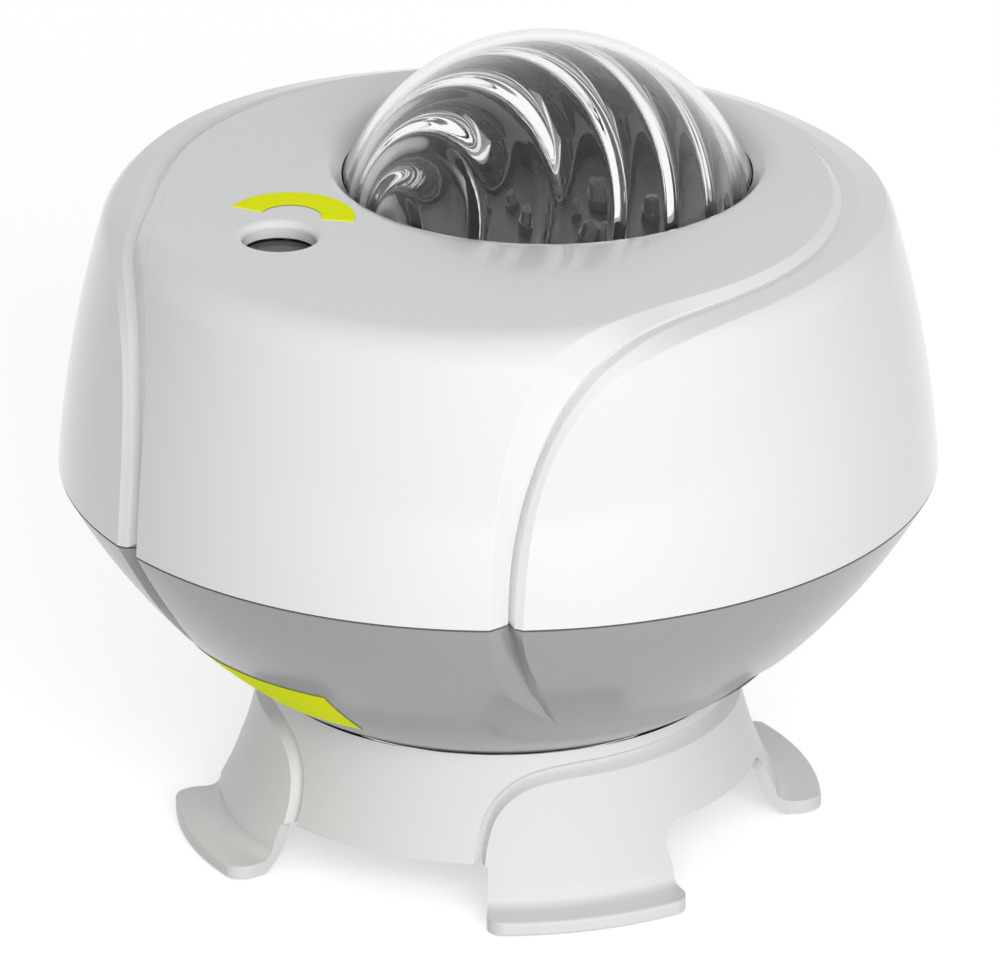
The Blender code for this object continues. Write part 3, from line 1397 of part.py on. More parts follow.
def stand_groove():
    """A V-shaped sweep along the stand's groove, steep on the outer side."""
    right = stand_groove_path()
    rows = np.vstack([right, mirrored(right, (0,))[1:]])
    radii = np.array([stand_radius(z) for z in rows[:, 1]])
    dz = np.gradient(rows[:, 1])
    da = np.gradient(np.radians(rows[:, 0])) * radii
    size = np.hypot(dz, da)
    out_a = dz / size
    out_z = -da / size
    points = []
    for k, (angle, z) in enumerate(rows):
        def edge(width, depth):
            height = z + width * out_z[k]
            turn = angle + degrees(width * out_a[k] / radii[k])
            return around(turn, stand_radius(height) - depth, height)
        points += [edge(0.0, STAND_GROOVE_DEPTH), edge(1.15, -0.3), edge(1.3, -GROOVE_LIFT)]
        points += [edge(-2.3, -GROOVE_LIFT), edge(-2.1, 0.9)]
    return swept("stand_groove", points, 5)


def seat_ring():
    """Soft ring that lies in the stand's ledge and lets the body turn."""
    inner = LEDGE_RADIUS + GAP
    outer = inner + SEAT_WIDTH
    profile = [(inner, SEAT_HEIGHT), (outer, SEAT_HEIGHT), (outer, bowl_height(outer, GAP))]
    profile.append((inner, bowl_height(inner, GAP)))
    return turned("seat_ring", profile, "rubber", sides=28)


def stand_pads():
    made = []
    for k, angle in enumerate(foot_angles()):
        made.append(prism("stand_pad_%d" % (k + 1), pad_outline(angle, 0.0), 0.0, PAD_THICK, "rubber"))
    return made


def empty(name, place):
    thing = bpy.data.objects.new(name, None)
    bpy.context.collection.objects.link(thing)
    thing.location = Vector(place) * MM
    thing.empty_display_size = 0.01
    return thing


def hang(children, parent):
    for child in children:
        child.parent = parent
        child.matrix_parent_inverse = Matrix.Translation(-parent.location)


def build():
    clear_scene()
    stand()
    stand_pads()
    seat_ring()
    upper_shell()
    lower_shell()
    dome_cover()
    swirl_dome()
    dome_ring_gear()
    drive_pinion()
    star_disc()
    gear_motor()
    light_frame()
    laser_holder()
    laser_module()
    laser_window()
    heat_sink()
    led_board()
    leds()
    main_board()
    speaker()
    power_inlet()
    buttons()
    switch_strip()
    shell_screws()
    frame_screws()
    board_screws()
    on_stand = [o for o in bpy.data.objects if o.name.startswith("stand") or o.name == "seat_ring"]
    carried = [o for o in bpy.data.objects if o not in on_stand and not o.hide_render and not o.parent]
    hang(carried, empty("rocking_centre", (0.0, 0.0, ROCK_HEIGHT)))


build()
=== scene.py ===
import json
from math import asin, atan2, cos, degrees, hypot, pi, radians, sin, sqrt

import bpy
import numpy as np
from mathutils import Matrix, Vector


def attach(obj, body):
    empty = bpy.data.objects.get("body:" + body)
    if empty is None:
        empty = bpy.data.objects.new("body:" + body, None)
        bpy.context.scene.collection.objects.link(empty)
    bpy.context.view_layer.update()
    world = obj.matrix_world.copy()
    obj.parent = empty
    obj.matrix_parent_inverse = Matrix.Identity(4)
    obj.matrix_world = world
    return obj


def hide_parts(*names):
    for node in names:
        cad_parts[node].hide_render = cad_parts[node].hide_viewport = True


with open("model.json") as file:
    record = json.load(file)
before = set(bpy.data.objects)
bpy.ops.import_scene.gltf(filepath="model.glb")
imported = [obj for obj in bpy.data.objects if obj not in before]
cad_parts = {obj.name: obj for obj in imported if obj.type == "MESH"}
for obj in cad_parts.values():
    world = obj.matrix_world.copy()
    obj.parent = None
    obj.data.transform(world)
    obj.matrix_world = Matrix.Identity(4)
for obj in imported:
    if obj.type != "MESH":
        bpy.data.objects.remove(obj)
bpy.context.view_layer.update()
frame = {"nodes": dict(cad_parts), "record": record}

mm = 0.001  # sizes are millimetres, and an angle round the body runs from the front (-Y) towards +X


# Small tools

def pick(*pieces):
    bpy.ops.object.select_all(action="DESELECT")
    for piece in pieces:
        piece.select_set(True)
    bpy.context.view_layer.objects.active = pieces[0]


def around(angle, radius, height=0.0):
    turn = radians(angle)
    return (radius * sin(turn), -radius * cos(turn), height)


def drawn(name, points, edges=(), faces=()):
    mesh = bpy.data.meshes.new(name)
    mesh.from_pydata([Vector(p) * mm for p in points], list(edges), list(faces))
    piece = bpy.data.objects.new(name, mesh)
    bpy.context.scene.collection.objects.link(piece)
    pick(piece)
    return piece


def editAll(piece):
    pick(piece)
    bpy.ops.object.mode_set(mode="EDIT")
    bpy.ops.mesh.select_all(action="SELECT")


def cleaned(piece, merge=0.002):
    editAll(piece)
    bpy.ops.mesh.remove_doubles(threshold=merge * mm)
    bpy.ops.mesh.normals_make_consistent(inside=False)
    bpy.ops.object.mode_set(mode="OBJECT")
    return piece


def turned(name, outline, steps=96, centre=(0.0, 0.0), closed=False):
    # an outline of (radius, height), spun round an upright axis
    points = [(centre[0], centre[1] - r, z) for r, z in outline]
    edges = [(k, k + 1) for k in range(len(points) - 1)]
    if closed:
        edges.append((len(points) - 1, 0))
    piece = drawn(name, points, edges)
    editAll(piece)
    middle = (centre[0] * mm, centre[1] * mm, 0.0)
    bpy.ops.mesh.spin(steps=steps, angle=2 * pi, center=middle, axis=(0, 0, 1))
    bpy.ops.object.mode_set(mode="OBJECT")
    return cleaned(piece)


def raised(name, outline, low, high):
    # a flat outline of (x, y), pulled up
    piece = drawn(name, [(x, y, low) for x, y in outline], (), [tuple(range(len(outline)))])
    editAll(piece)
    bpy.ops.mesh.extrude_region_move(TRANSFORM_OT_translate={"value": (0, 0, (high - low) * mm)})
    bpy.ops.object.mode_set(mode="OBJECT")
    return cleaned(piece)


def placed(piece, matrix):
    # turns and moves a finished piece's mesh, and leaves its object at the origin
    piece.matrix_world = matrix
    pick(piece)
    bpy.ops.object.transform_apply(location=True, rotation=True, scale=True)
    return piece


def rod(name, radius, low, high, centre=(0.0, 0.0), sides=48):
    spot = (centre[0] * mm, centre[1] * mm, (low + high) / 2 * mm)
    bpy.ops.object.select_all(action="DESELECT")
    bpy.ops.mesh.primitive_cylinder_add(vertices=sides, radius=radius * mm, depth=(high - low) * mm,
                                        location=spot)
    piece = bpy.context.active_object
    piece.name = name
    bpy.ops.object.transform_apply(location=True, rotation=True, scale=True)
    return piece


def joined(name, pieces):
    pick(*pieces)
    if len(pieces) > 1:
        bpy.ops.object.join()
    pieces[0].name = name
    return pieces[0]


def carved(piece, cutter):
    pick(piece)
    step = piece.modifiers.new("carve", "BOOLEAN")
    step.operation = "DIFFERENCE"
    step.solver = "MANIFOLD"
    step.object = cutter
    before = len(piece.data.polygons)
    bpy.ops.object.modifier_apply(modifier=step.name)
    print("carved", piece.name, "with", cutter.name, before, "->", len(piece.data.polygons))
    bpy.data.objects.remove(cutter, do_unlink=True)
    return piece


def swept(name, sections, looped=False):
    # a closed sweep through sections of as many points each
    count = len(sections[0])
    points = [p for section in sections for p in section]
    last = len(sections) - 1
    faces = []
    for k in range(last):
        for j in range(count):
            n = (j + 1) % count
            faces.append((k * count + j, k * count + n, (k + 1) * count + n, (k + 1) * count + j))
    if not looped:
        faces += [tuple(range(count)), tuple(range(last * count, last * count + count))]
    return cleaned(drawn(name, points, (), faces), 0.0005)


def finished(piece, finish, bodyName, nodes=(), smooth=32.0):
    pick(piece)
    bpy.ops.object.shade_smooth_by_angle(angle=radians(smooth))
    step = piece.modifiers.new("weighted", "WEIGHTED_NORMAL")
    step.keep_sharp = True
    step.weight = 50
    bpy.ops.object.modifier_apply(modifier=step.name)
    piece.data.materials.clear()
    piece.data.materials.append(finish)
    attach(piece, bodyName)
    if nodes:
        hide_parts(*nodes)
    return piece


def arcPoints(centre, radius, start, end, pitch):
    count = max(2, int(abs(radians(end - start)) * abs(radius) / pitch) + 1)
    turns = np.linspace(radians(start), radians(end), count + 1)
    return [(centre[0] + radius * cos(t), centre[1] + radius * sin(t)) for t in turns]


def smoothRows(table, steps):
    # a Catmull-Rom curve through a table's rows
    rows = np.array(table, float)
    padded = np.vstack([2 * rows[0] - rows[1], rows, 2 * rows[-1] - rows[-2]])
    out = []
    for k in range(len(rows) - 1):
        a, b, c, d = padded[k:k + 4]
        for t in np.arange(steps) / steps:
            out.append(0.5 * (2 * b + (c - a) * t + (2 * a - 5 * b + 4 * c - d) * t ** 2
                              + (3 * b - a - 3 * c + d) * t ** 3))
    out.append(rows[-1])
    return np.array(out)


def roundBox(width, height, radius, steps=8):
    outline = []
    for corner, (sx, sy) in enumerate(((1, 1), (-1, 1), (-1, -1), (1, -1))):
        for k in range(steps + 1):
            turn = radians(90.0 * (corner + k / steps))
            outline.append((sx * (width / 2 - radius) + radius * cos(turn),
                            sy * (height / 2 - radius) + radius * sin(turn)))
    return outline


# Body outline and its skin

body = {
    "seamRadius": 82.5,
    "seamHeight": 71.5,
    "seamGap": 0.44,
    "topHeight": 125.5,
    "sideArc": 236.4,
    "sideLean": 3.76,
    "shoulderRadius": 9.0,
    "bowlRadius": 87.4,
    "rockHeight": 106.0,
    "bowlZone": 44.8,
    "bottomRadius": 20.0,
    "loopRadius": 64.2,
    "steps": 320,
}


def bodyOutline(inset=0.0, topInset=None, pitch=1.6):
    top = body["topHeight"] - (inset if topInset is None else topInset)
    lean = radians(body["sideLean"])
    arcRadius = body["sideArc"]
    side = (body["seamRadius"] - arcRadius * cos(lean), body["seamHeight"] - arcRadius * sin(lean))
    shoulder = body["shoulderRadius"] - inset
    reach = arcRadius - inset - shoulder
    rise = top - shoulder - side[1]
    corner = (side[0] + sqrt(reach ** 2 - rise ** 2), top - shoulder)
    turn = degrees(atan2(corner[1] - side[1], corner[0] - side[0]))
    zone = radians(body["bowlZone"])
    bowl = body["bowlRadius"]
    start = np.array([bowl * sin(zone), body["rockHeight"] - bowl * cos(zone)])
    inward = np.array([-sin(zone), cos(zone)])
    span = np.array([body["seamRadius"], body["seamHeight"]]) - start
    flareRadius = np.dot(span, span) / (2.0 * np.dot(inward, span))
    flare = start + inward * flareRadius
    flareEnd = degrees(atan2(body["seamHeight"] - flare[1], body["seamRadius"] - flare[0]))
    last = degrees(asin(body["bottomRadius"] / (bowl - inset)))
    seamTurn = degrees(asin((body["seamHeight"] - side[1]) / (arcRadius - inset)))
    points = [(0.0, top)]
    points += [(r, top) for r in np.arange(pitch * 2, corner[0] - pitch, pitch * 2)]
    points += arcPoints(corner, shoulder, 90.0, turn, pitch * 0.35)
    points += arcPoints(side, arcRadius - inset, turn, seamTurn, pitch)[1:]
    points += arcPoints(flare, flareRadius - inset, flareEnd, body["bowlZone"] - 90.0, pitch)[1:]
    rock = (0.0, body["rockHeight"])
    points += arcPoints(rock, bowl - inset, body["bowlZone"] - 90.0, last - 90.0, pitch)[1:]
    points.append((0.0, points[-1][1]))
    return points


def radiusAt(outline, height):
    return float(np.interp(height, [p[1] for p in outline[::-1]], [p[0] for p in outline[::-1]]))


skinOutline = np.array(bodyOutline(pitch=0.3))
skinLength = np.concatenate([[0.0], np.cumsum(np.hypot(*np.diff(skinOutline, axis=0).T))])
seamLength = float(np.interp(-body["seamHeight"], -skinOutline[:, 1], skinLength))


def skinSample(length):
    return (float(np.interp(length, skinLength, skinOutline[:, 0])),
            float(np.interp(length, skinLength, skinOutline[:, 1])))


def skinAt(length, angle, off=0.0):
    r, z = skinSample(length)
    r0, z0 = skinSample(length - 0.5)
    r1, z1 = skinSample(length + 0.5)
    size = hypot(r1 - r0, z1 - z0)
    return np.array(around(angle, r + off * (z0 - z1) / size, z + off * (r1 - r0) / size))


def lengthAt(climb):
    return seamLength - climb * (seamLength - body["loopRadius"])


def lengthOf(height):
    return float(np.interp(-height, -skinOutline[:, 1], skinLength))


# Groove: climb (0 at the seam, 1 on the loop round the top) and angle of its inner edge,
# deepest line and outer edge, then depth. Below the seam its slopes grow softer, fully so
# from "bowlReach" down.

bodyGroove = {
    "rows": (
        (-0.592, 38.2, -0.590, 38.4, -0.588, 38.6, 0.1),
        (-0.535, 35.4, -0.530, 36.4, -0.525, 37.2, 0.7),
        (-0.470, 32.4, -0.462, 34.8, -0.450, 36.4, 1.2),
        (-0.384, 29.8, -0.384, 32.9, -0.370, 35.1, 1.7),
        (-0.301, 28.2, -0.301, 31.8, -0.297, 33.8, 2.2),
        (-0.204, 27.3, -0.204, 30.9, -0.206, 32.5, 2.8),
        (-0.100, 26.8, -0.100, 30.0, -0.100, 31.5, 3.2),
        (0.000, 26.7, 0.000, 29.4, 0.000, 31.2, 3.3),
        (0.217, 27.1, 0.206, 29.9, 0.200, 31.8, 3.3),
        (0.407, 27.9, 0.385, 31.5, 0.377, 33.1, 3.3),
        (0.589, 29.5, 0.543, 34.1, 0.532, 35.5, 3.2),
        (0.727, 32.0, 0.668, 37.2, 0.649, 39.0, 3.1),
        (0.840, 36.2, 0.766, 41.0, 0.733, 43.2, 3.0),
        (0.906, 41.0, 0.832, 44.3, 0.776, 46.6, 2.8),
        (0.957, 46.0, 0.889, 48.0, 0.807, 50.4, 2.5),
        (1.003, 52.0, 0.943, 53.0, 0.833, 54.6, 2.3),
        (1.030, 60.0, 0.990, 60.5, 0.858, 61.0, 2.1),
        (1.031, 72.0, 1.004, 72.0, 0.878, 72.0, 1.9),
        (1.028, 90.0, 1.000, 90.0, 0.883, 90.0, 1.8),
        (1.028, 115.0, 1.000, 115.0, 0.853, 115.0, 1.8),
        (1.028, 145.0, 1.000, 145.0, 0.824, 145.0, 1.8),
        (1.028, 180.0, 1.000, 180.0, 0.824, 180.0, 1.8),
    ),
    "steps": 12,
    # share of the way to the inner (-) or outer (+) edge, and depth there as a share of the whole
    "section": ((-1.12, -0.035), (-0.97, 0.02), (-0.90, 0.065), (-0.06, 0.76), (0.0, 1.0),
                (0.33, 0.34), (0.41, 0.27), (0.95, 0.02), (1.05, -0.03)),
    "bowlSection": ((-1.15, -0.02), (-0.85, 0.03), (-0.55, 0.17), (-0.15, 0.74), (0.0, 1.0),
                    (0.33, 0.66), (0.66, 0.34), (0.95, 0.03), (1.05, -0.03)),
    "bowlReach": 0.08,
    "lift": 4.0,
}


def grooveCutter(name):
    right = smoothRows(bodyGroove["rows"], bodyGroove["steps"])
    left = right[::-1].copy()
    left[:, (1, 3, 5)] = 360.0 - left[:, (1, 3, 5)]
    sections = []
    sharp, soft = np.array(bodyGroove["section"]), np.array(bodyGroove["bowlSection"])
    for inClimb, inAngle, climb, angle, outClimb, outAngle, depth in np.vstack([right, left[1:]]):
        length = lengthAt(climb)
        deep = skinAt(length, angle, -depth)
        normal = skinAt(length, angle, 1.0) - skinAt(length, angle)
        inLength, outLength = lengthAt(inClimb), lengthAt(outClimb)
        inner, outer = skinAt(inLength, inAngle), skinAt(outLength, outAngle)
        section = [skinAt(inLength, inAngle, bodyGroove["lift"])]
        bowlShare = min(1.0, max(0.0, -climb / bodyGroove["bowlReach"]))
        for share, drop in sharp + (soft - sharp) * bowlShare:
            edge = inner if share < 0 else outer
            u = abs(share)
            section.append(deep + (edge - deep) * u + normal * depth * (1.0 - u - drop))
        section.append(skinAt(outLength, outAngle, bodyGroove["lift"]))
        section.append(skinAt(length, angle, bodyGroove["lift"] * 1.5))
        sections.append(section)
    return swept(name, sections)


# Finishes

def addNode(tree, kind, **values):
    node = tree.nodes.new(kind)
    for name, value in values.items():
        setattr(node, name, value)
    return node


relief = {"depth": 0.0002, "glossScale": 3.7}


def driftGroup():
    # slow tone, speckled gloss and fine grain, for every moulded or turned surface
    group = bpy.data.node_groups.new("surfaceDrift", "ShaderNodeTree")
    for name, kind in (("Vector", "Vector"), ("Slow", "Float"), ("Fine", "Float")):
        group.interface.new_socket(name=name, in_out="INPUT", socket_type="NodeSocket" + kind)
    for name in ("Tone", "Gloss", "Grain"):
        group.interface.new_socket(name=name, in_out="OUTPUT", socket_type="NodeSocketFloat")
    start = addNode(group, "NodeGroupInput")
    end = addNode(group, "NodeGroupOutput")
    for output, scale, detail in (("Tone", "Slow", 3.0), ("Gloss", "Slow", 6.0), ("Grain", "Fine", 2.0)):
        noise = addNode(group, "ShaderNodeTexNoise")
        noise.inputs["Detail"].default_value = detail
        group.links.new(start.outputs["Vector"], noise.inputs["Vector"])
        if output == "Gloss":
            faster = addNode(group, "ShaderNodeMath", operation="MULTIPLY")
            faster.inputs[1].default_value = relief["glossScale"]
            group.links.new(start.outputs[scale], faster.inputs[0])
            group.links.new(faster.outputs[0], noise.inputs["Scale"])
        else:
            group.links.new(start.outputs[scale], noise.inputs["Scale"])
        group.links.new(noise.outputs["Fac"], end.inputs[output])
    return group


surfaceDrift = driftGroup()


def surface(name, light, dark, rough, slow=14.0, fine=1400.0, bump=0.02, metallic=0.0, coat=0.0,
            coatRough=0.05, specular=0.5, tint=1.0, transmission=0.0, ior=1.5, glow=0.0):
    made = bpy.data.materials.new(name)
    made.use_nodes = True
    tree = made.node_tree
    shader = tree.nodes["Principled BSDF"]
    for socket, value in (("Metallic", metallic), ("Coat Weight", coat), ("Coat Roughness", coatRough),
                          ("Specular IOR Level", specular), ("Specular Tint", (tint, tint, tint, 1.0)),
                          ("Transmission Weight", transmission), ("IOR", ior),
                          ("Emission Color", (*light, 1.0)), ("Emission Strength", glow)):
        shader.inputs[socket].default_value = value
    place = addNode(tree, "ShaderNodeTexCoord")
    drift = addNode(tree, "ShaderNodeGroup", node_tree=surfaceDrift)
    drift.inputs["Slow"].default_value = slow
    drift.inputs["Fine"].default_value = fine
    tree.links.new(place.outputs["Object"], drift.inputs["Vector"])
    blend = addNode(tree, "ShaderNodeMix", data_type="RGBA")
    colour = [s for s in blend.inputs if s.type == "RGBA"]
    colour[0].default_value = (*dark, 1.0)
    colour[1].default_value = (*light, 1.0)
    tree.links.new(drift.outputs["Tone"], blend.inputs[0])
    tree.links.new([s for s in blend.outputs if s.type == "RGBA"][0], shader.inputs["Base Color"])
    span = addNode(tree, "ShaderNodeMapRange")
    span.inputs["To Min"].default_value = rough[0]
    span.inputs["To Max"].default_value = rough[1]
    tree.links.new(drift.outputs["Gloss"], span.inputs["Value"])
    tree.links.new(span.outputs["Result"], shader.inputs["Roughness"])
    if bump > 0.0:
        grain = addNode(tree, "ShaderNodeBump")
        grain.inputs["Strength"].default_value = bump
        grain.inputs["Distance"].default_value = relief["depth"]
        tree.links.new(drift.outputs["Grain"], grain.inputs["Height"])
        tree.links.new(grain.outputs["Normal"], shader.inputs["Normal"])
    return made


finishes = {
    "white_gloss": surface("shellWhite", (0.84, 0.84, 0.845), (0.82, 0.82, 0.825), (0.17, 0.21),
                           coat=0.6, coatRough=0.03),
    "grey_gloss": surface("bowlGrey", (0.38, 0.38, 0.385), (0.36, 0.36, 0.365), (0.2, 0.26), coat=0.2),
    "stand_white": surface("standWhite", (0.8, 0.8, 0.805), (0.785, 0.785, 0.79), (0.28, 0.32),
                           specular=0.35),
    "rubber": surface("padRubber", (0.03, 0.03, 0.032), (0.018, 0.018, 0.019), (0.65, 0.85),
                      fine=900.0, bump=0.3),
    "clear": surface("clearPlastic", (1.0, 1.0, 1.0), (0.985, 0.99, 0.99), (0.0, 0.01),
                     bump=0.0, tint=0.35, transmission=1.0, ior=1.49),
    "lens": surface("lensPlastic", (1.0, 1.0, 1.0), (0.985, 0.99, 0.99), (0.0, 0.01),
                    bump=0.0, tint=0.2, transmission=1.0, ior=1.49),
    "frame_plastic": surface("frameBlack", (0.013, 0.013, 0.014), (0.008, 0.008, 0.009), (0.5, 0.7),
                             bump=0.2, specular=0.15),
    "gear_plastic": surface("gearNatural", (0.62, 0.61, 0.57), (0.54, 0.53, 0.5), (0.35, 0.5), bump=0.05),
    "steel": surface("plainSteel", (0.55, 0.55, 0.56), (0.42, 0.42, 0.43), (0.22, 0.4),
                     bump=0.1, metallic=1.0),
    "aluminium": surface("turnedAluminium", (0.68, 0.69, 0.7), (0.56, 0.57, 0.58), (0.25, 0.42),
                         metallic=1.0),
    "brass": surface("turnedBrass", (0.7, 0.48, 0.2), (0.58, 0.4, 0.16), (0.22, 0.38), metallic=1.0),
    "board": surface("boardMask", (0.03, 0.032, 0.031), (0.016, 0.018, 0.017), (0.3, 0.5),
                     slow=90.0, fine=500.0, bump=0.3),
    "led": surface("lampResin", (0.06, 0.058, 0.05), (0.045, 0.043, 0.037), (0.12, 0.25)),
    "paper": surface("conePaper", (0.02, 0.02, 0.02), (0.012, 0.012, 0.012), (0.75, 0.95),
                     fine=700.0, bump=0.5),
    "magnet": surface("magnetBlack", (0.035, 0.035, 0.04), (0.02, 0.02, 0.024), (0.45, 0.65),
                      metallic=0.3),
    "button": surface("buttonSatin", (0.78, 0.78, 0.785), (0.74, 0.74, 0.745), (0.3, 0.4), bump=0.06),
    # the yellow label has a painted glow: its emission (glow 0.17) makes it brighter than the lamps alone
    # would
    "label": surface("labelYellowPaintedGlow", (0.84, 0.92, 0.002), (0.8, 0.88, 0.002), (0.5, 0.65),
                     slow=40.0, bump=0.04, specular=0.05, glow=0.17),
    "labelEdge": surface("labelEdge", (0.2, 0.21, 0.03), (0.15, 0.16, 0.02), (0.6, 0.75),
                         slow=40.0, specular=0.12),
}

for name, node in frame["nodes"].items():
    slotName = next(p["material_slot"] for p in frame["record"]["subparts"] if p["node"] == name)
    node.material_slots[0].material = finishes[slotName]
print("finishes made")


# Upper shell

upperShell = {
    "wall": 4.9,
    "topWall": 3.3,
    "well": (0.0, 19.5),
    "wellOutline": ((38.62, 122.3), (39.1, 122.75), (40.2, 123.95), (40.9, 124.6), (41.6, 125.05),
                    (42.4, 125.32), (43.4, 125.5)),
    "laser": (-26.0, -38.0),
    "apertureRadius": 6.9,
    "apertureFlare": 1.5,
}


def flaredHole(name, radius, flare, centre, low, high, steps):
    outline = [(0.0, low), (radius, low)]
    outline += arcPoints((radius + flare, high - flare), flare, 180.0, 96.0, 0.15)
    end = outline[-1]
    wide, tall = end[0] + 3.0, high + 3.0
    outline += [(wide, end[1] + 3.0 * sin(radians(6.0))), (wide, tall), (0.0, tall)]
    return turned(name, outline, steps, centre)


def makeUpperShell():
    low = body["seamHeight"] + body["seamGap"] / 2
    outer = [p for p in bodyOutline() if p[1] > low]
    outer.append((radiusAt(bodyOutline(), low), low))
    innerLine = bodyOutline(upperShell["wall"], upperShell["topWall"])
    inner = [(radiusAt(innerLine, low), low)] + [p for p in innerLine if p[1] > low][::-1]
    shell = turned("upperHousing", outer + inner, body["steps"])
    carved(shell, grooveCutter("groove"))
    top = body["topHeight"]
    floor = top - upperShell["topWall"] - 2.0
    flare = list(upperShell["wellOutline"])
    flare = [(0.0, floor), (flare[0][0], floor)] + flare + [(flare[-1][0] + 4.0, top + 2.0), (0.0, top + 2.0)]
    carved(shell, turned("well", flare, 240, upperShell["well"]))
    carved(shell, flaredHole("aperture", upperShell["apertureRadius"], upperShell["apertureFlare"],
                             upperShell["laser"], floor, top, 96))
    return finished(shell, finishes["white_gloss"], "projector", ["upper_shell"])


makeUpperShell()
print("upper shell made")


# Lower shell

lowerShell = {
    "wall": 5.2,
    "lip": (75.7, 77.3),
    "lipRise": 2.2,
    "columnCircle": 33.0,
    "columnAngles": (60.0, 150.0, 210.0, 300.0),
    "columnFoot": 44.0,
    "postRadius": 4.6,
    "postLow": 10.0,
    # radius and height
    "screwBore": ((0.0, 10.0), (3.1, 10.0), (3.1, 38.0), (1.7, 38.0), (1.7, 46.0), (0.0, 46.0)),
    "portFace": 52.0,
    "portFloor": 36.6,
    "portHeight": 6.8,
    "portWidth": 24.0,
    "portCorner": 1.5,
    "portFrame": (5.2, 2.0, 6.7),
    "inletWidth": 9.6,
    "inletHeight": 3.9,
    "inletCut": (9.0, 1.0),
    "buttonAngles": (164.27, 174.76, 185.24, 195.73),
    "buttonHeight": 58.0,
    "buttonDown": 36.67,
    # radius and height over the skin
    "buttonBore": ((0.0, -11.0), (6.2, -11.0), (6.2, -2.75), (4.5, -2.75), (4.5, -0.25), (4.9, 0.15),
                   (5.4, 3.0), (0.0, 3.0)),
    "slots": 10,
    "slotCircle": 11.0,
    "slotWidth": 2.2,
    "slotLength": 10.0,
    "slotCut": (12.0, 30.0),
    "reach": 30.0,
}


def wallTurn(angle):
    # puts a piece that stands on its own +Z on the wall, pointing out
    height = lowerShell["buttonHeight"]
    radius = radiusAt([tuple(p) for p in skinOutline if p[1] < body["seamHeight"] + 1.0], height)
    spot = Vector(around(angle, radius, height)) * mm
    lean = Matrix.Rotation(radians(90.0 + lowerShell["buttonDown"]), 4, "X")
    return Matrix.Translation(spot) @ Matrix.Rotation(radians(angle), 4, "Z") @ lean


def makeLowerShell():
    high = body["seamHeight"] - body["seamGap"] / 2
    lipIn, lipOut = lowerShell["lip"]
    lipTop = body["seamHeight"] + lowerShell["lipRise"]
    outline = [(0.0, lipTop), (lipOut, lipTop), (lipOut, high), (radiusAt(bodyOutline(), high), high)]
    outline += [p for p in bodyOutline() if p[1] < high]
    shell = turned("lowerHousing", outline, body["steps"])
    innerLine = bodyOutline(lowerShell["wall"])
    bend = next(p[1] for p in innerLine if p[1] < high and p[0] < lipIn)
    core = turned("hollow", [(0.0, lipTop + 2.0), (lipIn, lipTop + 2.0), (lipIn, bend)]
                  + [p for p in innerLine if p[1] < bend], body["steps"])
    face, tall, wide = lowerShell["portFace"], lowerShell["portHeight"], lowerShell["portWidth"]
    sideways = Matrix.Rotation(radians(90.0), 4, "Y")
    middle = Matrix.Translation(Vector((0.0, 0.0, lowerShell["portFloor"] + tall / 2)) * mm)
    extra, corner, back = lowerShell["portFrame"]
    housing = roundBox(tall + extra, wide + extra, corner)
    housing = raised("portHousing", housing, face - back, face + lowerShell["reach"])
    posts = [placed(housing, middle @ sideways)]
    columns = [around(angle, lowerShell["columnCircle"])[:2] for angle in lowerShell["columnAngles"]]
    low, foot = lowerShell["postLow"], lowerShell["columnFoot"]
    posts += [rod("post", lowerShell["postRadius"], low, foot, spot) for spot in columns]
    carved(core, joined("posts", posts))
    carved(shell, core)
    carved(shell, grooveCutter("groove"))
    holes = [turned("screwHole", lowerShell["screwBore"], 48, spot) for spot in columns]
    for angle in lowerShell["buttonAngles"]:
        holes.append(placed(turned("buttonHole", lowerShell["buttonBore"], 48), wallTurn(angle)))
    behind, before = lowerShell["inletCut"]
    socket = roundBox(lowerShell["inletHeight"], lowerShell["inletWidth"], lowerShell["inletHeight"] / 2)
    holes.append(placed(raised("socketHole", socket, face - behind, face + before), middle @ sideways))
    width = lowerShell["slotWidth"]
    slotBox = roundBox(width, lowerShell["slotLength"], width / 2 * 0.98, 6)
    outwards = Matrix.Translation(Vector((0.0, lowerShell["slotCircle"], 0.0)) * mm)
    for k in range(lowerShell["slots"]):
        turn = Matrix.Rotation(2 * pi * (k + 0.5) / lowerShell["slots"], 4, "Z")
        holes.append(placed(raised("slot", slotBox, *lowerShell["slotCut"]), turn @ outwards))
    carved(shell, joined("holes", holes))
    recess = roundBox(tall, wide, lowerShell["portCorner"])
    recess = raised("recess", recess, face, face + lowerShell["reach"])
    carved(shell, placed(recess, middle @ sideways))
    return finished(shell, finishes["grey_gloss"], "projector", ["lower_shell"])


makeLowerShell()
print("lower shell made")


# Dome and the swirled lens under it

dome = {
    "centre": (0.0, 19.5),
    "radius": 41.3,
    "height": 107.0,
    "wall": 1.5,
    "flangeRadius": 43.2,
    "flangeTop": 121.9,
    "lensRadius": 39.2,
    "lensWall": 1.3,
    "lensFoot": 112.0,
    "rib": 2.9,
    # the ribs wind outwards round a leaning pole, close together on its near side
    "bands": 12,
    "starts": 2,
    "reach": 0.5,
    "reachAngle": 51.0,
    "pole": (72.0, -32.0),
    "columns": 216,
    "rowsPerBand": 24,
    "valley": 0.03,
    "poleFade": 2.5,
}


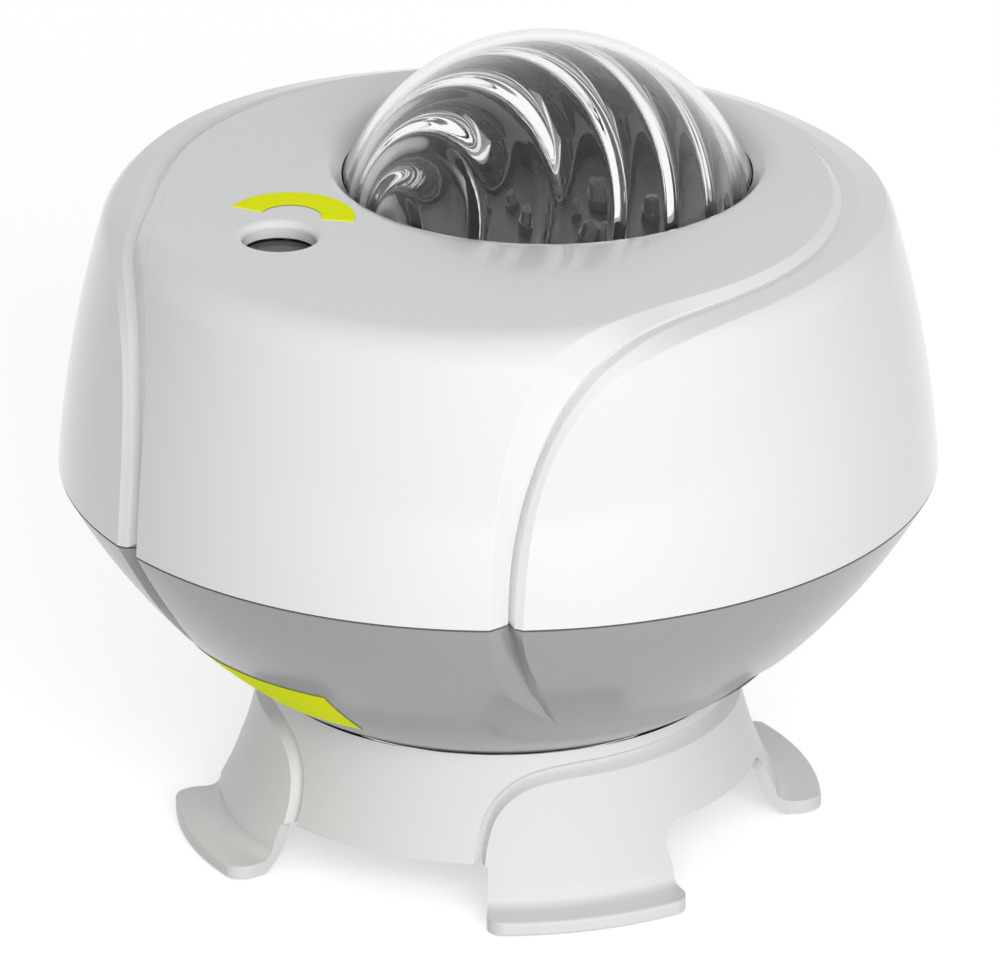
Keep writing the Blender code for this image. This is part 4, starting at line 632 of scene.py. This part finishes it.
def makeDomeCover():
    centre, outer, inner = dome["height"], dome["radius"], dome["radius"] - dome["wall"]
    top, low = dome["flangeTop"], dome["flangeTop"] - dome["wall"]
    outline = [(dome["flangeRadius"], low), (dome["flangeRadius"], top)]
    outline += arcPoints((0.0, centre), outer, degrees(asin((top - centre) / outer)), 90.0, 0.9)
    outline[-1] = (0.0, centre + outer)
    innerArc = arcPoints((0.0, centre), inner, 90.0, degrees(asin((low - centre) / inner)), 0.9)
    innerArc[0] = (0.0, centre + inner)
    cap = turned("domeCap", outline + innerArc, 200, dome["centre"], closed=True)
    return finished(cap, finishes["clear"], "projector", ["dome_cover"])


def swirlHollow(radius):
    columns, rows = dome["columns"], dome["bands"] * dome["rowsPerBand"]
    tilt, turn = dome["pole"]
    lean = Matrix.Rotation(radians(turn), 3, "Z") @ Matrix.Rotation(radians(tilt), 3, "X")
    middle = Vector((*dome["centre"], dome["height"]))
    points, rings = [], []
    for i in range(rows + 1):
        share = i / rows
        if i in (0, rows):
            rings.append([len(points)] * columns)
            points.append(middle + lean @ Vector((0.0, 0.0, cos(pi * share) * (radius - dome["rib"] / 2))))
            continue
        rings.append(list(range(len(points), len(points) + columns)))
        for j in range(columns):
            turn = 2 * pi * j / columns
            reach = 1.0 + dome["reach"] * cos(turn - radians(dome["reachAngle"]))
            down = pi * share / (share + (1.0 - share) / reach)
            phase = 2 * pi * dome["bands"] * share + dome["starts"] * turn
            rise = sqrt(sin(phase / 2) ** 2 + dome["valley"]) - 0.5
            swell = 0.5 + rise * min(1.0, dome["poleFade"] * sin(down))
            spot = Vector((sin(down) * cos(turn), sin(down) * sin(turn), cos(down)))
            points.append(middle + lean @ spot * (radius - dome["rib"] * swell))
    faces = []
    for low, high in zip(rings, rings[1:]):
        for j in range(columns):
            n = (j + 1) % columns
            faces.append(tuple(dict.fromkeys((low[j], low[n], high[n], high[j]))))
    return cleaned(drawn("swirlHollow", points, (), faces))


def makeSwirlLens():
    centre, radius, foot = dome["height"], dome["lensRadius"], dome["lensFoot"]
    start = degrees(asin((foot - centre) / radius))
    outline = [(0.0, foot)] + arcPoints((0.0, centre), radius, start, 90.0, 0.9)
    outline[-1] = (0.0, centre + radius)
    lens = turned("swirlLens", outline, 180, dome["centre"])
    carved(lens, swirlHollow(radius - dome["lensWall"]))
    return finished(lens, finishes["lens"], "dome", ["swirl_dome"], 60.0)


makeDomeCover()
makeSwirlLens()
print("domes made")


# Stand

stand = {
    "top": (45.0, 29.6),
    "ring": (48.9, 13.4),
    "leg": (52.4, 5.8),
    "wall": 3.5,
    "rim": ((44.4, 30.25), (44.75, 30.2), (44.97, 29.9)),
    "heel": ((54.2, 0.4), (53.2, 1.1), (52.0, 2.2), (50.5, 3.9), (49.3, 6.2), (48.6, 9.0)),
    "bowlGap": 0.4,
    "tongueFoot": 9.9,
    "toeRadius": 60.8,
    "toeBottom": 0.4,
    "toeThick": 2.6,
    "toeFlare": 3.15,
    "toeEdge": 0.7,
    "toeSole": 0.4,
    "toeCorner": 4.0,
    "frontAngle": 25.8,
    "sideAngle": 66.6,
    "gapCorner": 4.0,
    "toeTurn": 2.0,
    "ledge": (38.0, 25.7, 2.2),
    "seatWidth": 3.8,
    "padSize": (20.6, 6.2),
    "padCircle": 56.0,
    "padDepth": 1.4,
    "recess": 1.3,
    "cut": (30.0, 70.0),
    "groove": (
        (23.9, 5.0), (24.1, 10.2), (24.8, 14.7), (26.6, 19.0), (30.2, 22.5), (35.8, 25.0), (43.6, 26.2),
        (56.0, 26.6), (70.0, 26.8), (95.0, 26.9), (125.0, 26.9), (155.0, 26.9), (180.0, 26.9),
    ),
    # width and height of the groove's section, from its deepest line; positive widths are the feet's side
    "section": ((1.1, 4.0), (0.95, 0.25), (0.8, -0.25), (0.1, -2.6), (0.0, -2.85), (-0.25, -2.7),
                (-1.1, -1.5), (-1.4, -1.2), (-1.6, 4.0)),
    # angle, then how much wider the two slopes are there
    "widen": ((24.0, 1.0, 1.0), (36.0, 1.35, 0.9), (60.0, 1.7, 0.8)),
    "steps": 320,
}


def standArc():
    a = np.array([np.subtract(stand["ring"], stand["top"]), np.subtract(stand["leg"], stand["top"])]) * 2.0
    square = [np.dot(p, p) for p in (stand["top"], stand["ring"], stand["leg"])]
    centre = np.linalg.solve(a, [square[1] - square[0], square[2] - square[0]])
    return centre, hypot(stand["top"][0] - centre[0], stand["top"][1] - centre[1])


standCentre, standBend = standArc()


def standRadius(height):
    return standCentre[0] - sqrt(max(standBend ** 2 - (height - standCentre[1]) ** 2, 1.0))


def standBody():
    toeTop = stand["toeBottom"] + stand["toeThick"]
    outer = [(standRadius(z), z) for z in np.linspace(stand["top"][1], stand["leg"][1], 26)]
    outer[0:1] = stand["rim"]
    foot = outer[-1]
    drop = foot[1] - toeTop
    for t in np.linspace(0.12, 1.0, 9):
        outer.append((foot[0] + stand["toeFlare"] * t ** 2, foot[1] - drop * (1.0 - (1.0 - t) ** 2)))
    toe, edge, sole = stand["toeRadius"], stand["toeEdge"], stand["toeSole"]
    outer += arcPoints((toe - edge, toeTop - edge), edge, 90.0, 0.0, 0.18)
    outer += arcPoints((toe - sole, stand["toeBottom"] + sole), sole, 0.0, -90.0, 0.15)
    inner = list(stand["heel"])
    ledgeRadius, ledgeTop, ledgeThick = stand["ledge"]
    heights = np.linspace(stand["ring"][1], ledgeTop - ledgeThick - 2.0, 8)
    inner += [(standRadius(z) - stand["wall"], z) for z in heights]
    seatOut = ledgeRadius + stand["seatWidth"]
    inner += [(ledgeRadius, ledgeTop - ledgeThick), (ledgeRadius, ledgeTop), (seatOut, ledgeTop)]
    clear = body["bowlRadius"] + stand["bowlGap"]
    radii = np.linspace(seatOut, outer[0][0] - 0.3, 5)
    inner += [(r, body["rockHeight"] - sqrt(clear ** 2 - r ** 2)) for r in radii]
    return turned("standBody", outer + inner, stand["steps"], closed=True)


def toeCorner(edge, along, side):
    edge, along = np.array(edge), np.array(along)
    toe, corner = stand["toeRadius"], stand["toeCorner"]
    reach = -np.dot(edge, along) + sqrt(np.dot(edge, along) ** 2 + toe ** 2 - np.dot(edge, edge))
    end = edge + reach * along
    tangent = np.array([-end[1], end[0]]) / toe * side
    middle = end - corner * along + corner * tangent
    points = [middle + corner * (along * sin(t) - tangent * cos(t)) for t in np.linspace(0.0, pi / 2, 13)]
    return [tuple(edge)] + [tuple(p) for p in points] + [tuple(points[-1] * 1.2)]


def footEdges():
    def edge(angle, side, turn=0.0):
        start, end = around(angle, stand["leg"][0] - 0.4)[:2], around(angle + turn, stand["toeRadius"])[:2]
        along = np.subtract(end, start)
        along = along / hypot(*along)
        return (tuple(start - along * 20.0), tuple(along), side)

    near, far, turn = stand["frontAngle"], stand["sideAngle"], stand["toeTurn"]
    return [
        (edge(-near, -1), edge(near, 1)),
        (edge(far, -1, -turn), edge(180.0 - far, 1, turn)),
        (edge(180.0 - near, -1), edge(180.0 + near, 1)),
        (edge(180.0 + far, -1, -turn), edge(360.0 - far, 1, turn)),
    ]


def ringGap(start, end, top, corner):
    # a gap under the ring between two legs, drawn as angle and height and pulled outwards
    low = stand["toeBottom"] + 1.6
    turn = degrees(corner / ((stand["ring"][0] + stand["leg"][0]) / 2))
    left = [(start, low)]
    for t in np.radians(np.linspace(0.0, 90.0, 12)) if corner > 0.0 else ():
        left.append((start + turn * (1.0 - cos(t)), top - corner * (1.0 - sin(t))))
    if corner == 0.0:
        left.append((start, top))
    right = [(end + start - a, z) for a, z in left][::-1]
    bridge = [(left[-1][0] + (right[0][0] - left[-1][0]) * k / 30, top) for k in range(1, 30)]
    upper = left[1:] + bridge + right[:-1]
    rows = [[around(a, radius, z) for radius in stand["cut"] for z in (low, height)] for a, height in upper]
    sections = [[row[0], row[1], row[3], row[2]] for row in rows]
    return swept("ringGap", sections)


def standGroove():
    right = smoothRows(stand["groove"], 12)
    left = right[::-1].copy()
    left[:, 0] = 360.0 - left[:, 0]
    rows = np.vstack([right, left[1:]])
    radii = np.array([standRadius(z) for z in rows[:, 1]])
    dz, da = np.gradient(rows[:, 1]), np.gradient(np.radians(rows[:, 0])) * radii
    size = np.hypot(dz, da)
    angles, outer, inner = zip(*stand["widen"])
    sections = []
    for k, (angle, z) in enumerate(rows):
        section = []
        folded = min(angle, 360.0 - angle)
        for width, rise in stand["section"]:
            width *= np.interp(folded, angles, outer if width > 0.0 else inner)
            height = z - width * da[k] / size[k]
            turn = angle + degrees(width * dz[k] / size[k] / radii[k])
            section.append(around(turn, standRadius(height) + rise, height))
        sections.append(section)
    return swept("standGroove", sections)


def lipRecess():
    # the front tongue and the lip lie deeper than the legs, and the edge between them runs in the groove
    right = [tuple(row) for row in smoothRows(stand["groove"], 12)]
    start, low = right[0]
    front = [(a, low) for a in np.linspace(-start, start, 25)[1:-1]]
    rows = front + right + [(360.0 - a, z) for a, z in right[-2::-1]]
    sections = []
    for angle, foot in rows + rows[:1]:
        heights = np.linspace(foot, stand["top"][1] + 3.0, 18)
        near = [around(angle, standRadius(z) - stand["recess"], z) for z in heights]
        sections.append(near + [around(angle, standRadius(z) + 5.0, z) for z in heights[::-1]])
    return swept("lipRecess", sections, looped=True)


def makeStand():
    piece = standBody()
    below, above = stand["toeBottom"] - 1.0, stand["toeBottom"] + stand["toeThick"] + 1.2
    gaps = []
    for first, second in footEdges():
        gaps.append(raised("footGap", toeCorner(*first) + toeCorner(*second)[::-1], below, above))
    carved(piece, joined("footGaps", gaps))
    near, side, foot, corner = stand["frontAngle"], stand["sideAngle"], stand["ring"][1], stand["gapCorner"]
    gaps = [ringGap(-near, near, stand["tongueFoot"], 0.0), ringGap(side, 180.0 - side, foot, corner),
            ringGap(180.0 - near, 180.0 + near, foot, 0.0), ringGap(180.0 + side, 360.0 - side, foot, corner)]
    carved(piece, joined("ringGaps", gaps))
    carved(piece, lipRecess())
    carved(piece, standGroove())
    pads = []
    width, depth = stand["padSize"]
    outwards = Matrix.Translation(Vector((0.0, -stand["padCircle"], 0.0)) * mm)
    for angle in (45.0, 135.0, 225.0, 315.0):
        pad = raised("padRecess", roundBox(width, depth, depth / 2 - 0.01), below, stand["padDepth"])
        pads.append(placed(pad, Matrix.Rotation(radians(angle), 4, "Z") @ outwards))
    carved(piece, joined("padRecesses", pads))
    return finished(piece, finishes["stand_white"], "stand", ["stand"])


makeStand()
print("stand made")


# Buttons

button = {
    "radius": 4.2,
    "proud": 1.2,
    "depth": 4.2,
    "flange": 5.6,
    "flangeTop": -3.25,
    "edge": 0.7,
    "rim": 1.0,
    "dish": 0.35,
}


def makeButtons():
    proud, radius, edge = button["proud"], button["radius"], button["edge"]
    outline = [(0.0, -button["depth"]), (button["flange"], -button["depth"]),
               (button["flange"], button["flangeTop"]), (radius, button["flangeTop"])]
    outline += arcPoints((radius - edge, proud - edge), edge, 0.0, 90.0, 0.12)
    hollow = radius - button["rim"]
    outline += [(r, proud - button["dish"] * (1.0 - (r / hollow) ** 2)) for r in np.linspace(hollow, 0.0, 8)]
    first = turned("buttonCap", outline, 64)
    caps = [first]
    while len(caps) < len(lowerShell["buttonAngles"]):
        caps.append(first.copy())
        caps[-1].data = first.data.copy()
        bpy.context.scene.collection.objects.link(caps[-1])
    for k, (cap, angle) in enumerate(zip(caps, lowerShell["buttonAngles"])):
        placed(cap, wallTurn(angle))
        finished(cap, finishes["button"], "button_%d" % (k + 1), ["button_%d" % (k + 1)])


makeButtons()
print("buttons made")


# Blank labels

labels = {
    "thick": 0.12,
    "cutFace": 0.25,
    "archCentre": (-28.3, -29.3),
    "archRadii": (5.9, 12.1),
    "archTurns": (18.0, 181.5),
    # angle and height of the upper edge, then the length down the bowl and the turn over that length
    "bowlTop": ((-40.0, 43.3), (-36.5, 43.9), (-29.8, 44.8), (-21.3, 45.5), (-16.1, 45.7), (-6.8, 46.33),
                (-1.6, 46.6)),
    "bowlTall": 15.4,
    "bowlSlant": 1.6,
    "bowlGrid": (49, 17),
}


def stickered(label):
    # a dark line runs round a sticker where it is cut
    finished(label, finishes["label"], "projector")
    label.data.materials.append(finishes["labelEdge"])
    for face in label.data.polygons:
        if face.area < labels["cutFace"] * mm * mm:
            face.material_index = 1
    return label


def makeArchLabel():
    x, y = labels["archCentre"]
    low, high = labels["archTurns"]
    outline = arcPoints((x, y), labels["archRadii"][1], low, high, 0.5)
    outline += arcPoints((x, y), labels["archRadii"][0], high, low, 0.5)
    base = body["topHeight"] + 0.01
    return stickered(raised("archLabel", outline, base, base + labels["thick"]))


def makeBowlLabel():
    angles, heights = zip(*labels["bowlTop"])
    wide, tall = labels["bowlGrid"]
    layers = []
    for off in (0.03, 0.03 + labels["thick"]):
        for a in np.linspace(angles[0], angles[-1], wide):
            top = lengthOf(np.interp(a, angles, heights))
            for share in np.linspace(1.0, 0.0, tall):
                slant = labels["bowlSlant"] * (share - 0.5)
                layers.append(skinAt(top + labels["bowlTall"] * share, a + slant, off))
    count = wide * tall
    faces = []
    for i in range(wide - 1):
        for j in range(tall - 1):
            a = i * tall + j
            faces.append((a, a + 1, a + tall + 1, a + tall))
            faces.append((a + count, a + tall + count, a + tall + 1 + count, a + 1 + count))
    rim = [i * tall for i in range(wide)] + [(wide - 1) * tall + j for j in range(1, tall)]
    rim += [i * tall + tall - 1 for i in range(wide - 2, -1, -1)] + list(range(tall - 2, 0, -1))
    for k, a in enumerate(rim):
        b = rim[(k + 1) % len(rim)]
        faces.append((a, b, b + count, a + count))
    return stickered(cleaned(drawn("bowlLabel", layers, (), faces), 0.001))


makeArchLabel()
makeBowlLabel()
print("labels made")


# Floor, light and camera

studio = {
    "azimuth": 28.0,
    "elevation": 22.91,
    "aimHeight": 67.1,
    "aimRight": 0.28,
    "shownWidth": 187.5,
    "lens": 1000.0,
    "sensor": 36.0,
    "world": 0.41,
    "floorSize": 12.0,
    "floorHeight": -0.00002,
    "floorSeen": 0.9,
    "floorBounce": 0.6,
    "floorGlow": 0.56,
    "keyAzimuth": 41.0,
    "keyElevation": 22.0,
    "keyAim": (0.0, 0.0, 0.07),
    "keySize": (0.9, 0.5),
    "keyPower": 6.8,
}


def seenDirectly(tree, otherwise, value):
    # one value for what the camera sees, also mirrored or through glass, and another for the light it gives
    path = addNode(tree, "ShaderNodeLightPath")
    mask = path.outputs["Is Camera Ray"]
    for ray in ("Is Glossy Ray", "Is Transmission Ray"):
        either = addNode(tree, "ShaderNodeMath", operation="MAXIMUM")
        tree.links.new(mask, either.inputs[0])
        tree.links.new(path.outputs[ray], either.inputs[1])
        mask = either.outputs[0]
    span = addNode(tree, "ShaderNodeMapRange")
    span.inputs["To Min"].default_value = otherwise
    span.inputs["To Max"].default_value = value
    tree.links.new(mask, span.inputs["Value"])
    return span.outputs["Result"]


def whiteWorld():
    world = bpy.data.worlds.new("studio")
    world.use_nodes = True
    tree = world.node_tree
    back = tree.nodes["Background"]
    back.inputs["Color"].default_value = (1.0, 1.0, 1.0, 1.0)
    tree.links.new(seenDirectly(tree, studio["world"], 1.0), back.inputs["Strength"])
    bpy.context.scene.world = world


def paleFloor():
    bpy.ops.object.select_all(action="DESELECT")
    bpy.ops.mesh.primitive_plane_add(size=studio["floorSize"], location=(0.0, 0.0, studio["floorHeight"]))
    floor = bpy.context.active_object
    floor.name = "floor"
    bpy.ops.object.transform_apply(location=True, rotation=True, scale=True)
    made = bpy.data.materials.new("paleFloor")
    made.use_nodes = True
    tree = made.node_tree
    shader = tree.nodes["Principled BSDF"]
    shader.inputs["Roughness"].default_value = 0.9
    shader.inputs["Specular IOR Level"].default_value = 0.0
    shader.inputs["Emission Color"].default_value = (1.0, 1.0, 1.0, 1.0)
    grey = seenDirectly(tree, studio["floorBounce"], studio["floorSeen"])
    tree.links.new(grey, shader.inputs["Base Color"])
    tree.links.new(seenDirectly(tree, 0.0, studio["floorGlow"]), shader.inputs["Emission Strength"])
    floor.data.materials.append(made)


def keyLight():
    # one metre from its aim, and not mirrored in the dome
    lamp = bpy.data.lights.new("keyLight", "AREA")
    lamp.shape = "RECTANGLE"
    lamp.size, lamp.size_y = studio["keySize"]
    lamp.energy = studio["keyPower"]
    holder = bpy.data.objects.new("keyLight", lamp)
    bpy.context.scene.collection.objects.link(holder)
    rise = radians(studio["keyElevation"])
    aim = Vector(studio["keyAim"])
    holder.location = aim + Vector(around(studio["keyAzimuth"], cos(rise), sin(rise)))
    holder.rotation_euler = (aim - holder.location).to_track_quat("-Z", "Y").to_euler()
    holder.visible_glossy = False
    holder.visible_transmission = False


def setCamera():
    turn, rise = radians(studio["azimuth"]), radians(studio["elevation"])
    towards = Vector((sin(turn) * cos(rise), -cos(turn) * cos(rise), sin(rise)))
    right = Vector((cos(turn), sin(turn), 0.0))
    aim = (Vector((0.0, 0.0, studio["aimHeight"])) + right * studio["aimRight"]) * mm
    distance = studio["lens"] / studio["sensor"] * studio["shownWidth"] * mm
    lens = bpy.data.cameras.new("camera")
    lens.lens = studio["lens"]
    lens.sensor_width = studio["sensor"]
    holder = bpy.data.objects.new("camera", lens)
    bpy.context.scene.collection.objects.link(holder)
    holder.location = aim + towards * distance
    holder.rotation_euler = (-towards).to_track_quat("-Z", "Y").to_euler()
    bpy.context.scene.camera = holder


whiteWorld()
paleFloor()
keyLight()
setCamera()
bpy.context.scene.view_settings.view_transform = "Standard"
print("studio set")
